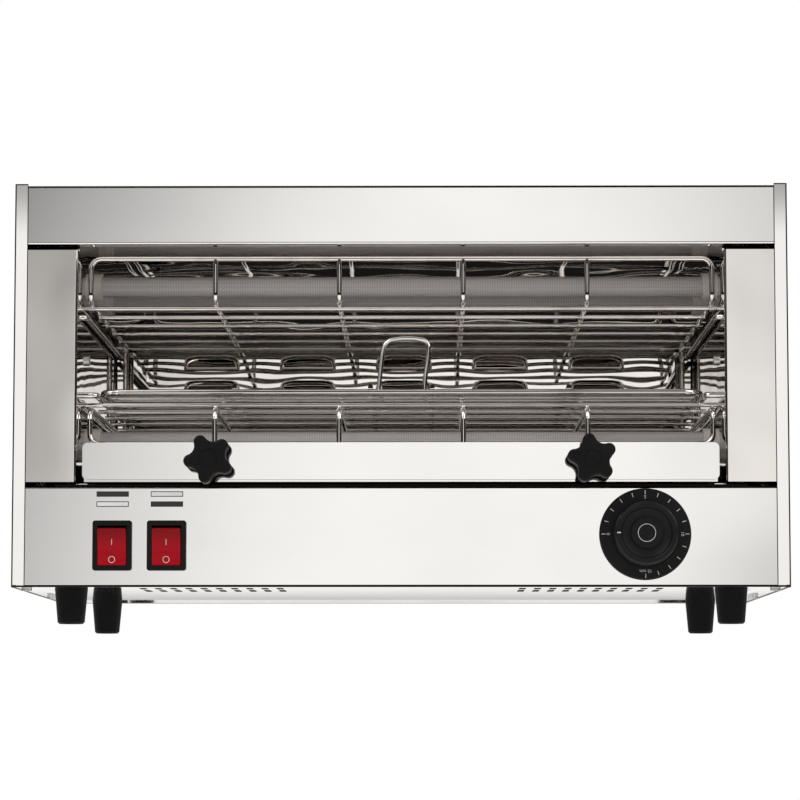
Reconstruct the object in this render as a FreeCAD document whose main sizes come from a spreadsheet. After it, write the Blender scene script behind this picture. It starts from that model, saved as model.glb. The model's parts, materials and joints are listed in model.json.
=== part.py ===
import FreeCAD, Part
import Sketcher
import math
import os

# Bar toaster: a polished sheet steel cabinet with four quartz tube heaters, wire guards, a pull-out
# wire rack, a pull-out crumb tray with two star knobs, two rocker switches and a timer dial.
# Millimetres. X to the right, Y to the back, Z up. The origin lies on the table under the middle of
# everything, knobs and cable gland included. A depth is measured back from the cabinet's front face.

V = FreeCAD.Vector

SIZES = [
    # Cabinet
    ("cabinet_width", 440, "over the side panels"),
    ("cabinet_depth", 256, "front face to rear face"),
    ("cabinet_height", 230, "underside to the side panels' top edge"),
    ("foot_height", 20, "table to the cabinet's underside"),
    ("sheet_wall", 1, "thickness of the sheet steel"),
    ("fit_gap", 0.3, "gap between pieces that lie side by side"),
    ("running_gap", 0.3, "gap under a sliding piece"),
    ("bend_radius", 1.5, "outside radius of a visible bend"),
    ("side_flange", 7.5, "front flange of a side panel, from its outer face"),
    ("seam_flange", 14, "rear and bottom flanges of a side panel"),
    ("corner_mitre", 6, "slope cut off the top of a front flange"),
    ("top_drop", 1, "top cover below the side panels' edge"),
    ("header_height", 34, "front face of the top cover"),
    ("header_lip", 8, "return under the header"),
    ("cover_drop", 12, "side and rear flanges of the top cover"),
    ("control_height", 57.1, "front face of the control panel"),
    ("panel_return", 12, "returns behind the control and rear panels"),
    ("rim_height", 10, "upturned sides of the base panel"),
    # Ventilation slots
    ("vent_width", 4, "width of a slot"),
    ("vent_length", 24, "length of a slot"),
    ("vent_pitch", 8.8, "spacing of the slots"),
    ("vent_count", 10, "slots in a row"),
    ("vent_offset", 70, "middle of the cabinet to the first slot"),
    ("vent_front_depth", 45, "front row of base slots"),
    ("vent_row_pitch", 33, "front row to rear row"),
    ("rear_vent_height", 52, "height of the rear slots above the underside"),
    # Oven lining
    ("wall_inset", 36.3, "side panel's outer face to the inner side wall"),
    ("ceiling_lift", 5, "foot of the header to the ceiling"),
    ("rear_space", 8, "louvred back to the rear face"),
    ("cheek_top_gap", 3, "header to cheek"),
    ("cheek_foot_gap", 2.4, "control panel to cheek"),
    ("runner_width", 10, "bottom flange that carries the crumb tray"),
    ("oven_overhang", 11.3, "floor, ceiling and back beyond the inner walls"),
    ("louvre_width", 35.5, "hood of a louvre"),
    ("louvre_height", 7.4, "hood of a louvre"),
    ("louvre_reach", 4, "hood stands out of the back"),
    ("louvre_pitch", 62.2, "spacing across"),
    ("louvre_count", 5, "louvres in a row"),
    ("louvre_upper_drop", 45, "ceiling to the upper row"),
    ("louvre_drop", 15, "upper row to lower row"),
    # Quartz tubes
    ("quartz_radius", 6, "outside of a quartz tube"),
    ("quartz_wall", 1, "thickness of the quartz"),
    ("coil_radius", 3.6, "outside of a heating coil"),
    ("quartz_front_depth", 89, "front pair of tubes"),
    ("quartz_pitch", 70, "front tube to rear tube"),
    ("upper_quartz_drop", 17, "ceiling to the upper tubes"),
    ("lower_quartz_rise", 32.9, "control panel's top to the lower tubes"),
    ("cap_radius", 8, "collar of a ceramic end cap"),
    ("cap_collar", 4.8, "length of the collar"),
    ("cap_neck_radius", 7, "neck through the inner wall"),
    ("cap_neck", 14, "neck beyond the inner wall"),
    ("cap_clearance", 0.15, "round a fixed round piece in its hole"),
    ("quartz_seat", 7.5, "tube end inside its cap"),
    ("pin_radius", 1.6, "terminal pin of a tube"),
    ("pin_reach", 7, "terminal pin beyond its cap"),
    ("nut_radius", 3.2, "terminal nut"),
    ("nut_length", 3, "terminal nut"),
    # Guards
    ("guard_wire", 3.2, "frame and ribs"),
    ("grid_wire", 2.6, "cross wires"),
    ("weld_sink", 0.3, "how far two welded wires run into each other"),
    ("guard_side_gap", 3.2, "end wire's centre to the inner side wall"),
    ("guard_front_depth", 40, "front frame"),
    ("guard_bend", 6, "bends of the guard wires"),
    ("guard_rib_pitch", 72, "spacing of the ribs"),
    ("guard_rib_count", 4, "ribs between the end wires"),
    ("guard_cross_count", 6, "cross wires"),
    ("guard_rear_gap", 5, "last cross wire to the back"),
    ("upper_guard_drop", 35.8, "ceiling to the upper cross wires"),
    ("upper_guard_reach", 28.5, "cross wires up to the frame rod"),
    ("lower_guard_rise", 50.6, "control panel's top to the lower cross wires"),
    ("lower_guard_reach", 23.3, "cross wires down to the frame rod"),
    ("peg_reach", 1.6, "a wire's end beyond the sheet that it hooks through"),
    # Rack and its brackets
    ("rack_side_gap", 9.4, "side rod's centre to the inner side wall"),
    ("rack_front_depth", 50, "front rod"),
    ("rack_rear_gap", 10, "rear rod to the back"),
    ("rack_lift", 7.8, "lower guard's cross wires to the frame rod"),
    ("rack_rod", 4, "frame rod"),
    ("rack_corner", 9, "corner bends of the frame"),
    ("rack_cross_count", 9, "cross wires between the front and rear rods"),
    ("rack_rib", 3, "lengthwise wires"),
    ("rack_inner_rib", 18, "inner lengthwise wires from the middle"),
    ("rack_outer_rib", 97.5, "outer lengthwise wires from the middle"),
    ("loop_wire", 2.7, "loop handle"),
    ("loop_base", 27, "width at the foot"),
    ("loop_top", 21, "width at the top"),
    ("loop_lean", 4, "sideways lean of the hand-bent loop"),
    ("loop_rise", 31, "frame rod to the top of the loop"),
    ("bracket_wire", 3.5, "side brackets"),
    ("upright_inset", 5.2, "upright's centre to the inner side wall"),
    ("upper_rail_drop", 7.55, "upper guard's cross wires to the upper rail"),
    ("bracket_front_depth", 27, "rails' front ends, which hook into the inner wall"),
    ("bracket_rear_gap", 18, "upright to the louvred back"),
    ("bracket_foot", 2.6, "lower rail to the upright's foot, clear of the lower guard"),
    ("bracket_head", 6.3, "upper rail to the upright's head, clear of the upper guard"),
    ("bracket_bend", 2.4, "bends of a bracket's wires"),
    ("wall_screw_depth", 49, "screw on an inner wall"),
    # Crumb tray
    ("tray_side_gap", 3.7, "front plate to the inner side wall, each side"),
    ("tray_plate_height", 20.9, "front plate"),
    ("tray_proud", 2, "front plate before the cabinet's face"),
    ("tray_gap", 3.6, "control panel to front plate"),
    ("tray_corner", 3, "corners of the front plate"),
    ("tray_return", 7, "return on top of the front plate"),
    ("pan_inset", 1, "pan narrower than the plate, each side"),
    ("pan_rear_gap", 25, "pan to the louvred back"),
    ("pan_height", 13.6, "side walls of the pan"),
    ("pan_wall", 0.8, "thickness of the pan"),
    # Star knobs
    ("star_inset", 72.5, "end of the front plate to a star knob"),
    ("star_radius", 14, "middle to the tip of a lobe"),
    ("star_tip", 3.6, "radius of a lobe's tip"),
    ("star_valley", 9.6, "middle to the hollow between two lobes"),
    ("star_lobes", 5, "lobes"),
    ("star_head", 12, "thickness of the head"),
    ("star_hub", 8, "length of the hub behind the head"),
    ("star_hub_radius", 6, "hub"),
    ("star_round", 1.5, "rounded front edge of the head"),
    ("star_cap_radius", 4.9, "cap in the head"),
    ("star_cap_depth", 1.2, "depth of the cap"),
    ("star_turn_left", 44, "angle of the left knob at rest"),
    ("star_turn_right", 28, "angle of the right knob at rest"),
    ("insert_radius", 4.2, "brass insert"),
    ("insert_length", 13, "brass insert"),
    ("stud_radius", 2.5, "stud in the front plate"),
    ("stud_head", 5, "radius of the stud's head"),
    ("bearing_gap", 0.06, "round a turning shaft"),
    # Rocker switches
    ("switch_inset", 57.2, "left side panel's outer face to the left switch"),
    ("switch_pitch", 30.7, "left switch to right switch"),
    ("switch_height", 23.4, "middle of a switch above the cabinet's underside"),
    ("bezel_width", 22.2, "bezel"),
    ("bezel_tall", 28.3, "bezel"),
    ("bezel_thick", 2, "bezel"),
    ("housing_width", 19.4, "housing behind the panel"),
    ("housing_tall", 25.6, "housing behind the panel"),
    ("housing_length", 22, "housing behind the panel"),
    ("window_width", 16.6, "opening for the rocker"),
    ("window_tall", 22.5, "opening for the rocker"),
    ("window_depth", 14, "opening for the rocker"),
    ("rocker_gap", 0.3, "rocker to its opening, each side"),
    ("rocker_tall", 20.9, "rocker"),
    ("rocker_proud", 3, "ends of the level rocker before the bezel"),
    ("rocker_hollow", 1.4, "middle of the rocker below its ends"),
    ("rocker_tail", 8, "rocker's tail behind the bezel's face"),
    ("rocker_shoulder", 3, "end walls of the rocker reach back to here before the pivot"),
    ("rocker_pivot", 4, "pivot behind the bezel's face"),
    ("rocker_tilt", 8, "tilt from level"),
    ("trunnion_radius", 1.5, "rocker's trunnions"),
    ("trunnion_reach", 1, "trunnion in the housing's wall"),
    ("blade_width", 6.3, "terminal blade"),
    ("blade_thick", 0.8, "terminal blade"),
    ("blade_length", 8, "terminal blade"),
    ("blade_spread", 12, "upper blade to lower blade"),
    # Timer
    ("timer_inset", 82.1, "right side panel's outer face to the timer"),
    ("timer_height", 29.7, "above the cabinet's underside"),
    ("scale_radius", 25.9, "scale disc"),
    ("scale_thick", 2.4, "scale disc"),
    ("scale_chamfer", 0.8, "scale disc's edge"),
    ("dial_radius", 18.6, "knob"),
    ("dial_reach", 14, "knob's rim before the scale disc"),
    ("dial_draft", 1.2, "knob narrower at the front"),
    ("dial_rim", 2.4, "width of the knob's rounded rim"),
    ("dial_dish", 3, "hollow of the knob's face"),
    ("dial_cap_radius", 8.8, "centre cap"),
    ("dial_cap_proud", 1.2, "centre cap before the hollow's floor"),
    ("dial_cap_seat", 2, "centre cap sunk into the knob"),
    ("timer_shaft_radius", 3, "shaft"),
    ("shaft_in_body", 12, "shaft inside the clockwork"),
    ("shaft_in_knob", 8, "shaft inside the knob"),
    ("shaft_hole_radius", 4.5, "hole in the panel and the scale disc"),
    ("clockwork_width", 46, "clockwork case"),
    ("clockwork_tall", 46, "clockwork case"),
    ("clockwork_length", 30, "clockwork case"),
    ("clockwork_corner", 4, "edges of the clockwork case"),
    ("case_screw_spread", 28, "between the two case screws"),
    # Feet and fasteners
    ("foot_side_inset", 31.5, "foot's middle to the side panel's outer face"),
    ("foot_front_inset", 25, "foot's middle to the front face"),
    ("foot_rear_inset", 31, "foot's middle to the rear face"),
    ("foot_top_radius", 9.5, "top of a foot"),
    ("foot_tip_radius", 7.75, "bottom of a foot"),
    ("foot_recess_radius", 4.6, "recess for the screw's head"),
    ("foot_recess", 9, "depth of the recess"),
    ("foot_round", 1, "rounded edge at the bottom"),
    ("foot_bolt_radius", 2, "screw of a foot"),
    ("small_screw_radius", 1.5, "cabinet and timer screws"),
    ("screw_head_radius", 3, "small screw's head"),
    ("screw_head_height", 1.8, "small screw's head"),
    ("screw_hole_gap", 0.15, "round a screw in its hole"),
    ("screw_length", 5, "small screw under its head"),
    ("seam_screw_inset", 8, "side panel's outer face to its screws"),
    ("seam_screw_depth", 8, "first bottom screw from the front face"),
    # Mains connection
    ("gland_inset", 70, "right side panel's outer face to the gland"),
    ("gland_height", 27, "above the cabinet's underside"),
    ("gland_radius", 8, "thread of the gland"),
    ("gland_flange_radius", 12, "flange and dome nut"),
    ("gland_reach", 15, "gland behind the rear face"),
    ("gland_bore", 4.2, "cable hole"),
    ("gland_thread", 9, "thread inside the rear panel"),
    ("gland_nut_length", 4, "lock nut"),
    ("block_length", 36, "terminal block"),
    ("block_width", 20, "terminal block"),
    ("block_height", 16, "terminal block"),
    ("block_rear_inset", 51, "terminal block to the rear face"),
    ("block_inset", 110, "right side panel's outer face to the terminal block"),
    ("block_poles", 3, "poles"),
    ("block_bore", 2.2, "wire holes"),
    ("earth_stud_radius", 2.5, "earth stud"),
    ("earth_stud_height", 14, "earth stud"),
    ("earth_side_inset", 38, "earth stud to the side panel's outer face"),
    ("earth_rear_inset", 36, "earth stud to the rear face"),
]


class Size:
    """A number together with the spreadsheet formula that gives it."""

    def __init__(self, value, text=None):
        self.value = float(value)
        self.text = repr(float(value)) if text is None else text

    def __float__(self):
        return self.value

    def join(self, other, mark, result):
        return Size(result, f"({self.text} {mark} {other.text})")

    def __add__(self, other):
        other = size(other)
        return self.join(other, "+", self.value + other.value)

    def __sub__(self, other):
        other = size(other)
        return self.join(other, "-", self.value - other.value)

    def __mul__(self, other):
        other = size(other)
        return self.join(other, "*", self.value * other.value)

    def __truediv__(self, other):
        other = size(other)
        return self.join(other, "/", self.value / other.value)

    def __radd__(self, other):
        return size(other) + self

    def __rsub__(self, other):
        return size(other) - self

    def __rmul__(self, other):
        return size(other) * self

    def __neg__(self):
        return Size(-self.value, f"(0 - {self.text})")


def size(value):
    """Wrap a plain number, and leave a Size as it is."""
    return value if isinstance(value, Size) else Size(value)


class Sheet:
    """The spreadsheet of driving dimensions, read as attributes."""

    def __init__(self, document, rows):
        self.cells = document.addObject("Spreadsheet::Sheet", "sizes")
        for index, (name, number, note) in enumerate(rows, start=1):
            self.cells.set(f"A{index}", name)
            self.cells.set(f"B{index}", str(number))
            self.cells.set(f"C{index}", note)
            self.cells.setAlias(f"B{index}", name)
        document.recompute()

    def __getattr__(self, name):
        return Size(getattr(self.cells, name), f"sizes.{name}")


doc = FreeCAD.newDocument("bar_toaster")
s = Sheet(doc, SIZES)
pieces = []


# Places that many pieces share

front = (s.star_hub + s.star_head + s.tray_proud + s.fit_gap - s.gland_reach - s.cabinet_depth) / 2
back = front + s.cabinet_depth
underside = s.foot_height
side_out = s.cabinet_width / 2
side_in = side_out - s.sheet_wall
flange_edge = side_out - s.side_flange
face_half = flange_edge - s.fit_gap
side_top = underside + s.cabinet_height
cover_top = side_top - s.top_drop
header_foot = cover_top - s.header_height
control_top = underside + s.control_height
base_under = underside + s.sheet_wall
base_top = base_under + s.sheet_wall
oven_floor_top = control_top + s.sheet_wall
runner_top = oven_floor_top + s.sheet_wall
ceiling = header_foot + s.ceiling_lift
wall_in = side_out - s.wall_inset
wall_out = wall_in + s.sheet_wall
lining_half = wall_out + s.oven_overhang
liner_front = back - s.rear_space
return_half = side_out - s.seam_flange - s.fit_gap
seam_screw_x = side_out - s.seam_screw_inset
guard_half = wall_in - s.guard_side_gap
upper_guard_z = ceiling - s.upper_guard_drop
lower_guard_z = control_top + s.lower_guard_rise
rack_z = lower_guard_z + s.rack_lift
lower_rail = rack_z - s.rack_rod / 2 - s.running_gap - s.bracket_wire / 2
upper_rail = upper_guard_z - s.upper_rail_drop
upright_x = wall_in - s.upright_inset
tray_half = wall_in - s.tray_side_gap
star_x = tray_half - s.star_inset
left_switch_x = side_out - s.switch_inset
timer_x = side_out - s.timer_inset
gland_x = side_out - s.gland_inset
block_x = side_out - s.block_inset
upright_y = liner_front - s.bracket_rear_gap


# Helpers

def bind(item, prop, value):
    """Tie a property to its formula in the spreadsheet."""
    item.setExpression(prop, size(value).text)


def place(item, x, y, z, turn=None):
    """Put an object's own origin at a bound place, turned if a rotation is given."""
    if turn is not None:
        item.Placement = FreeCAD.Placement(V(0, 0, 0), turn)
    for letter, value in zip("xyz", (x, y, z)):
        bind(item, f"Placement.Base.{letter}", value)
    return item


def keep(item, label, group):
    """Name a finished sub-part and remember it for the export."""
    item.Label = label
    pieces.append((label, item, group))
    return item


TURNS = {
    "x": FreeCAD.Rotation(V(0, 1, 0), 90),
    "y": FreeCAD.Rotation(V(1, 0, 0), -90),
    "z": FreeCAD.Rotation(),
}


def box(name, low, high):
    """A block between two corners."""
    item = doc.addObject("Part::Box", name)
    for prop, a, b in zip(("Length", "Width", "Height"), low, high):
        bind(item, prop, size(b) - a)
    return place(item, *low)


def rod(name, axis, start, length, radius):
    """A round bar that runs from its start along an axis."""
    item = doc.addObject("Part::Cylinder", name)
    bind(item, "Radius", radius)
    bind(item, "Height", length)
    return place(item, *start, TURNS[axis])


def fused(name, parts):
    """Weld or mould several shapes into one solid."""
    item = doc.addObject("Part::MultiFuse", name)
    item.Shapes = parts
    item.Refine = True
    return item


def grouped(name, parts):
    """Put separate solids of one kind into one node."""
    item = doc.addObject("Part::Compound", name)
    item.Links = parts
    return item


def cut(name, base, tools):
    """Take one or more shapes out of another."""
    item = doc.addObject("Part::Cut", name)
    item.Base = base
    item.Tool = tools[0] if len(tools) == 1 else fused(name + "_tools", tools)
    return item


def spine(points, bend, closed=False):
    """A wire of straight runs joined by tangent arcs of one radius."""
    points = [V(*[float(value) for value in point]) for point in points]
    count = len(points)
    corners = range(count) if closed else range(1, count - 1)
    arcs = {}
    for index in corners:
        corner = points[index]
        before = (points[index - 1] - corner).normalize()
        after = (points[(index + 1) % count] - corner).normalize()
        half = before.getAngle(after) / 2
        reach = bend / math.tan(half)
        middle = corner + (before + after).normalize() * (bend / math.sin(half) - bend)
        arcs[index] = (corner + before * reach, middle, corner + after * reach)
    edges = []
    last = count if closed else count - 1
    for index in range(last):
        follower = (index + 1) % count
        begin = arcs[index][2] if index in arcs else points[index]
        end = arcs[follower][0] if follower in arcs else points[follower]
        edges.append(Part.LineSegment(begin, end).toShape())
        if follower in arcs:
            edges.append(Part.Arc(*arcs[follower]).toShape())
    return Part.Wire(edges)


def bent_wire(name, points, bend, radius, closed=False):
    """Round wire bent along a path, as one solid."""
    path = spine(points, float(bend), closed)
    start = path.Edges[0].Vertexes[0].Point
    heading = path.Edges[0].tangentAt(path.Edges[0].FirstParameter)
    section = Part.Wire([Part.makeCircle(float(radius), start, heading)])
    item = doc.addObject("Part::Feature", name)
    item.Shape = path.makePipeShell([section], True, False)
    return item


class Folded:
    """A PartDesign body that is drawn and padded along the main axes."""

    FACES = {"z": "XY_Plane", "y": "XZ_Plane", "x": "YZ_Plane"}

    def __init__(self, name):
        self.body = doc.addObject("PartDesign::Body", name)
        self.name = name

    def sketch(self, axis, at):
        """A sketch square to an axis, at a place along it."""
        drawing = self.body.newObject("Sketcher::SketchObject", self.name + "_sketch")
        origin = self.body.Origin.OriginFeatures
        plane = [item for item in origin if item.Role == self.FACES[axis]][0]
        drawing.AttachmentSupport = [(plane, "")]
        drawing.MapMode = "FlatFace"
        bind(drawing, "AttachmentOffset.Base.z", -size(at) if axis == "y" else at)
        return drawing

    def pad(self, axis, drawing, length):
        """Thicken a sketch towards the positive end of its axis."""
        item = self.body.newObject("PartDesign::Pad", self.name + "_pad")
        item.Profile = drawing
        item.Reversed = axis == "y"
        bind(item, "Length", length)
        doc.recompute([item], True)
        return item

    def pocket(self, axis, drawing, length):
        """Cut a sketch's outline away towards the positive end of its axis."""
        before = self.body.Tip.Shape.Volume
        item = self.body.newObject("PartDesign::Pocket", self.name + "_pocket")
        item.Profile = drawing
        item.Reversed = axis != "y"
        bind(item, "Length", length)
        doc.recompute([item], True)
        if item.Shape.Volume >= before:
            raise ValueError(f"{self.name}: a pocket cuts nothing")
        return item

    def repeat(self, feature, direction, spacing, count):
        """Copy a feature in a row along an axis of the body's origin."""
        item = self.body.newObject("PartDesign::LinearPattern", self.name + "_row")
        axes = [part for part in self.body.Origin.OriginFeatures if part.Role == direction]
        item.Originals = [feature]
        item.Direction = (axes[0], [""])
        bind(item, "Length", spacing * (count - 1))
        bind(item, "Occurrences", count)
        self.body.Tip = item
        doc.recompute([item], True)
        return item

    def round(self, radius, chosen):
        """Round the edges that a test picks."""
        tip = self.body.Tip
        names = [f"Edge{k}" for k, edge in enumerate(tip.Shape.Edges, start=1) if chosen(edge)]
        if not names:
            raise ValueError(f"{self.name}: no edge to round")
        item = self.body.newObject("PartDesign::Fillet", self.name + "_round")
        item.Base = (tip, names)
        bind(item, "Radius", radius)
        doc.recompute([item], True)
        return item


def hold(drawing, element, vertex, u, v):
    """Fix a point of a sketch by its two distances from the origin."""
    for kind, value in (("DistanceX", u), ("DistanceY", v)):
        index = drawing.addConstraint(
            Sketcher.Constraint(kind, -1, 1, element, vertex, float(size(value)))
        )
        bind(drawing, f"Constraints[{index}]", value)


def outline(drawing, corners):
    """A closed polygon with every corner held."""
    first = drawing.GeometryCount
    count = len(corners)
    spots = [V(float(size(u)), float(size(v)), 0) for u, v in corners]
    for index in range(count):
        drawing.addGeometry(Part.LineSegment(spots[index], spots[(index + 1) % count]))
    for index in range(count):
        follower = first + (index + 1) % count
        drawing.addConstraint(Sketcher.Constraint("Coincident", first + index, 2, follower, 1))
        hold(drawing, first + index, 1, *corners[index])


def rectangle(drawing, low, high):
    """An upright rectangle between two corners."""
    outline(drawing, [low, (high[0], low[1]), high, (low[0], high[1])])


def circle(drawing, u, v, radius):
    """A circle with its centre held and its radius bound."""
    middle = V(float(size(u)), float(size(v)), 0)
    index = drawing.addGeometry(Part.Circle(middle, V(0, 0, 1), float(radius)))
    hold(drawing, index, 3, u, v)
    tie = drawing.addConstraint(Sketcher.Constraint("Radius", index, float(radius)))
    bind(drawing, f"Constraints[{tie}]", radius)


def slot(drawing, u, v, length, width):
    """A slot with round ends, long along v."""
    radius = width / 2
    reach = length / 2 - radius
    low = V(float(size(u)), float(v - reach), 0)
    high = V(float(size(u)), float(v + reach), 0)
    shift = V(float(radius), 0, 0)
    first = drawing.GeometryCount
    drawing.addGeometry(Part.ArcOfCircle(Part.Circle(high, V(0, 0, 1), float(radius)), 0, math.pi))
    drawing.addGeometry(Part.LineSegment(high - shift, low - shift))
    drawing.addGeometry(
        Part.ArcOfCircle(Part.Circle(low, V(0, 0, 1), float(radius)), math.pi, 2 * math.pi)
    )
    drawing.addGeometry(Part.LineSegment(low + shift, high + shift))
    for index in range(4):
        drawing.addConstraint(
            Sketcher.Constraint("Tangent", first + index, 2, first + (index + 1) % 4, 1)
        )
    hold(drawing, first, 3, u, v + reach)
    hold(drawing, first + 2, 3, u, v - reach)
    tie = drawing.addConstraint(Sketcher.Constraint("Radius", first, float(radius)))
    bind(drawing, f"Constraints[{tie}]", radius)


def runs_along(axis, **places):
    """A test for straight edges that run along an axis at given places."""
    def test(edge):
        ends = [vertex.Point for vertex in edge.Vertexes]
        if len(ends) != 2 or edge.Curve.TypeId != "Part::GeomLine":
            return False
        way = (ends[1] - ends[0]).normalize()
        if abs(getattr(way, axis)) < 0.999:
            return False
        return all(
            any(abs(getattr(ends[0], letter) - float(value)) < 0.01 for value in values)
            for letter, values in places.items()
        )
    return test


# Cabinet panels

def side_panel(label, sign):
    """Outer wall with a front flange, a rear flange and a bottom flange."""
    part = Folded(label)
    wall_inner = sign * side_in
    drawing = part.sketch("z", underside)
    outline(drawing, [
        (sign * side_out, front),
        (sign * side_out, back - s.sheet_wall),
        (sign * wall_size(s.seam_flange), back - s.sheet_wall),
        (sign * wall_size(s.seam_flange), back - 2 * s.sheet_wall),
        (wall_inner, back - 2 * s.sheet_wall),
        (wall_inner, front + s.sheet_wall),
        (sign * flange_edge, front + s.sheet_wall),
        (sign * flange_edge, front),
    ])
    part.pad("z", drawing, s.cabinet_height)
    shelf = part.sketch("z", underside)
    rectangle(
        shelf,
        (sign * wall_size(s.seam_flange), front + s.sheet_wall),
        (wall_inner, back - 2 * s.sheet_wall),
    )
    part.pad("z", shelf, s.sheet_wall)
    mitre = part.sketch("y", front)
    outline(mitre, [
        (sign * flange_edge, side_top),
        (sign * flange_edge, cover_top),
        (wall_inner, side_top - s.corner_mitre),
        (wall_inner, side_top),
    ])
    part.pocket("y", mitre, s.sheet_wall)
    notch = part.sketch("y", back - 2 * s.sheet_wall)
    rectangle(
        notch,
        (sign * wall_size(s.seam_flange), cover_top - s.cover_drop),
        (wall_inner, side_top),
    )
    part.pocket("y", notch, s.sheet_wall)
    holes = part.sketch("z", underside)
    for depth in bottom_screw_places():
        circle(holes, sign * seam_screw_x, depth, s.small_screw_radius + s.screw_hole_gap)
    part.pocket("z", holes, s.sheet_wall)
    seam = part.sketch("y", back - 2 * s.sheet_wall)
    for height in rear_screw_places():
        circle(seam, sign * seam_screw_x, height, s.small_screw_radius + s.screw_hole_gap)
    part.pocket("y", seam, s.sheet_wall)
    part.round(s.bend_radius, runs_along("z", x=[sign * side_out], y=[front, back - s.sheet_wall]))
    keep(part.body, label, "cabinet")


def wall_size(reach):
    """Distance from the middle to a flange's edge that reaches in from the outer face."""
    return side_out - reach


def bottom_screw_places():
    """Depths of the screws that hold the base to a side panel."""
    first = front + s.seam_screw_depth
    last = back - s.seam_screw_depth
    return [first, (first + last) / 2, last]


def rear_screw_places():
    """Heights of the screws that hold the rear panel to a side panel."""
    low = underside + s.seam_flange
    high = cover_top - s.cover_drop - s.seam_flange
    return [low, (low + high) / 2, high]


def top_cover():
    """Top sheet with the header in front, its lip, and flanges at the sides and the rear."""
    part = Folded("top_cover")
    wall = s.sheet_wall
    rear = back - wall - s.fit_gap
    drawing = part.sketch("x", -face_half)
    outline(drawing, [
        (front, header_foot),
        (front, cover_top),
        (rear, cover_top),
        (rear, cover_top - wall),
        (front + wall, cover_top - wall),
        (front + wall, header_foot + wall),
        (front + s.header_lip, header_foot + wall),
        (front + s.header_lip, header_foot),
    ])
    part.pad("x", drawing, 2 * face_half)
    wing = part.sketch("z", cover_top - wall)
    cover_half = side_in - s.fit_gap
    rectangle(wing, (-cover_half, front + wall + s.fit_gap), (cover_half, rear))
    part.pad("z", wing, wall)
    skirt = part.sketch("z", cover_top - s.cover_drop)
    for edge in (-cover_half, cover_half - wall):
        rectangle(skirt, (edge, front + 2 * wall + s.fit_gap), (edge + wall, rear - 2 * wall))
    part.pad("z", skirt, s.cover_drop)
    tail = part.sketch("z", cover_top - s.cover_drop)
    rectangle(tail, (-return_half, rear - wall), (return_half, rear))
    part.pad("z", tail, s.cover_drop)
    part.round(s.bend_radius, runs_along("x", y=[front], z=[header_foot, cover_top]))
    keep(part.body, "top_cover", "cabinet")


def control_panel():
    """Front face of the control compartment, with its returns and cut-outs."""
    part = Folded("control_panel")
    wall = s.sheet_wall
    drawing = part.sketch("x", -return_half)
    rear = front + wall + s.panel_return
    outline(drawing, [
        (front, underside),
        (front, control_top),
        (rear, control_top),
        (rear, control_top - wall),
        (front + wall, control_top - wall),
        (front + wall, underside + wall),
        (rear, underside + wall),
        (rear, underside),
    ])
    part.pad("x", drawing, 2 * return_half)
    ears = part.sketch("y", front)
    rectangle(ears, (-face_half, underside), (face_half, control_top))
    part.pad("y", ears, wall)
    openings = part.sketch("y", front)
    for x in switch_places():
        rectangle(
            openings,
            (x - s.housing_width / 2 - s.cap_clearance, switch_z - s.housing_tall / 2 - s.cap_clearance),
            (x + s.housing_width / 2 + s.cap_clearance, switch_z + s.housing_tall / 2 + s.cap_clearance),
        )
    circle(openings, timer_x, timer_z, s.shaft_hole_radius)
    for z in case_screw_places():
        circle(openings, timer_x, z, s.small_screw_radius + s.screw_hole_gap)
    part.pocket("y", openings, wall)
    part.round(s.bend_radius, runs_along("x", y=[front], z=[underside, control_top]))
    keep(part.body, "control_panel", "cabinet")


switch_z = underside + s.switch_height
timer_z = underside + s.timer_height


def switch_places():
    """X of the two rocker switches."""
    return [-left_switch_x, s.switch_pitch - left_switch_x]


def case_screw_places():
    """Heights of the two screws that hold the clockwork case."""
    return [timer_z - s.case_screw_spread / 2, timer_z + s.case_screw_spread / 2]


def foot_places():
    """X and Y of the four feet."""
    offset = side_out - s.foot_side_inset
    rows = {"front": front + s.foot_front_inset, "rear": back - s.foot_rear_inset}
    return {
        f"{row}_{side}": (sign * offset, y)
        for row, y in rows.items()
        for side, sign in (("left", -1), ("right", 1))
    }


def earth_place():
    """X and Y of the earth stud."""
    return side_out - s.earth_side_inset, back - s.earth_rear_inset


def base_panel():
    """Floor of the cabinet: ventilation slots, screw holes and upturned sides."""
    part = Folded("base_panel")
    wall = s.sheet_wall
    half = side_in - s.fit_gap
    first = front + wall + s.fit_gap
    last = back - 2 * wall - s.fit_gap
    drawing = part.sketch("z", base_under)
    rectangle(drawing, (-half, first), (half, last))
    for x, y in foot_places().values():
        circle(drawing, x, y, s.foot_bolt_radius + s.screw_hole_gap)
    for sign in (-1, 1):
        for depth in bottom_screw_places():
            circle(drawing, sign * seam_screw_x, depth, s.small_screw_radius + s.screw_hole_gap)
    x, y = earth_place()
    circle(drawing, x, y, s.earth_stud_radius + s.screw_hole_gap)
    part.pad("z", drawing, wall)
    rims = part.sketch("z", base_top)
    for edge in (-half, half - wall):
        rectangle(rims, (edge, first + s.panel_return), (edge + wall, last - s.panel_return))
    part.pad("z", rims, s.rim_height)
    rows = (front + s.vent_front_depth, front + s.vent_front_depth + s.vent_row_pitch)
    for start in (-s.vent_offset - s.vent_pitch * (s.vent_count - 1), s.vent_offset):
        for row in rows:
            drawing = part.sketch("z", base_under)
            slot(drawing, start, row, s.vent_length, s.vent_width)
            opening = part.pocket("z", drawing, wall)
            part.repeat(opening, "X_Axis", s.vent_pitch, s.vent_count)
    keep(part.body, "base_panel", "cabinet")


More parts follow.
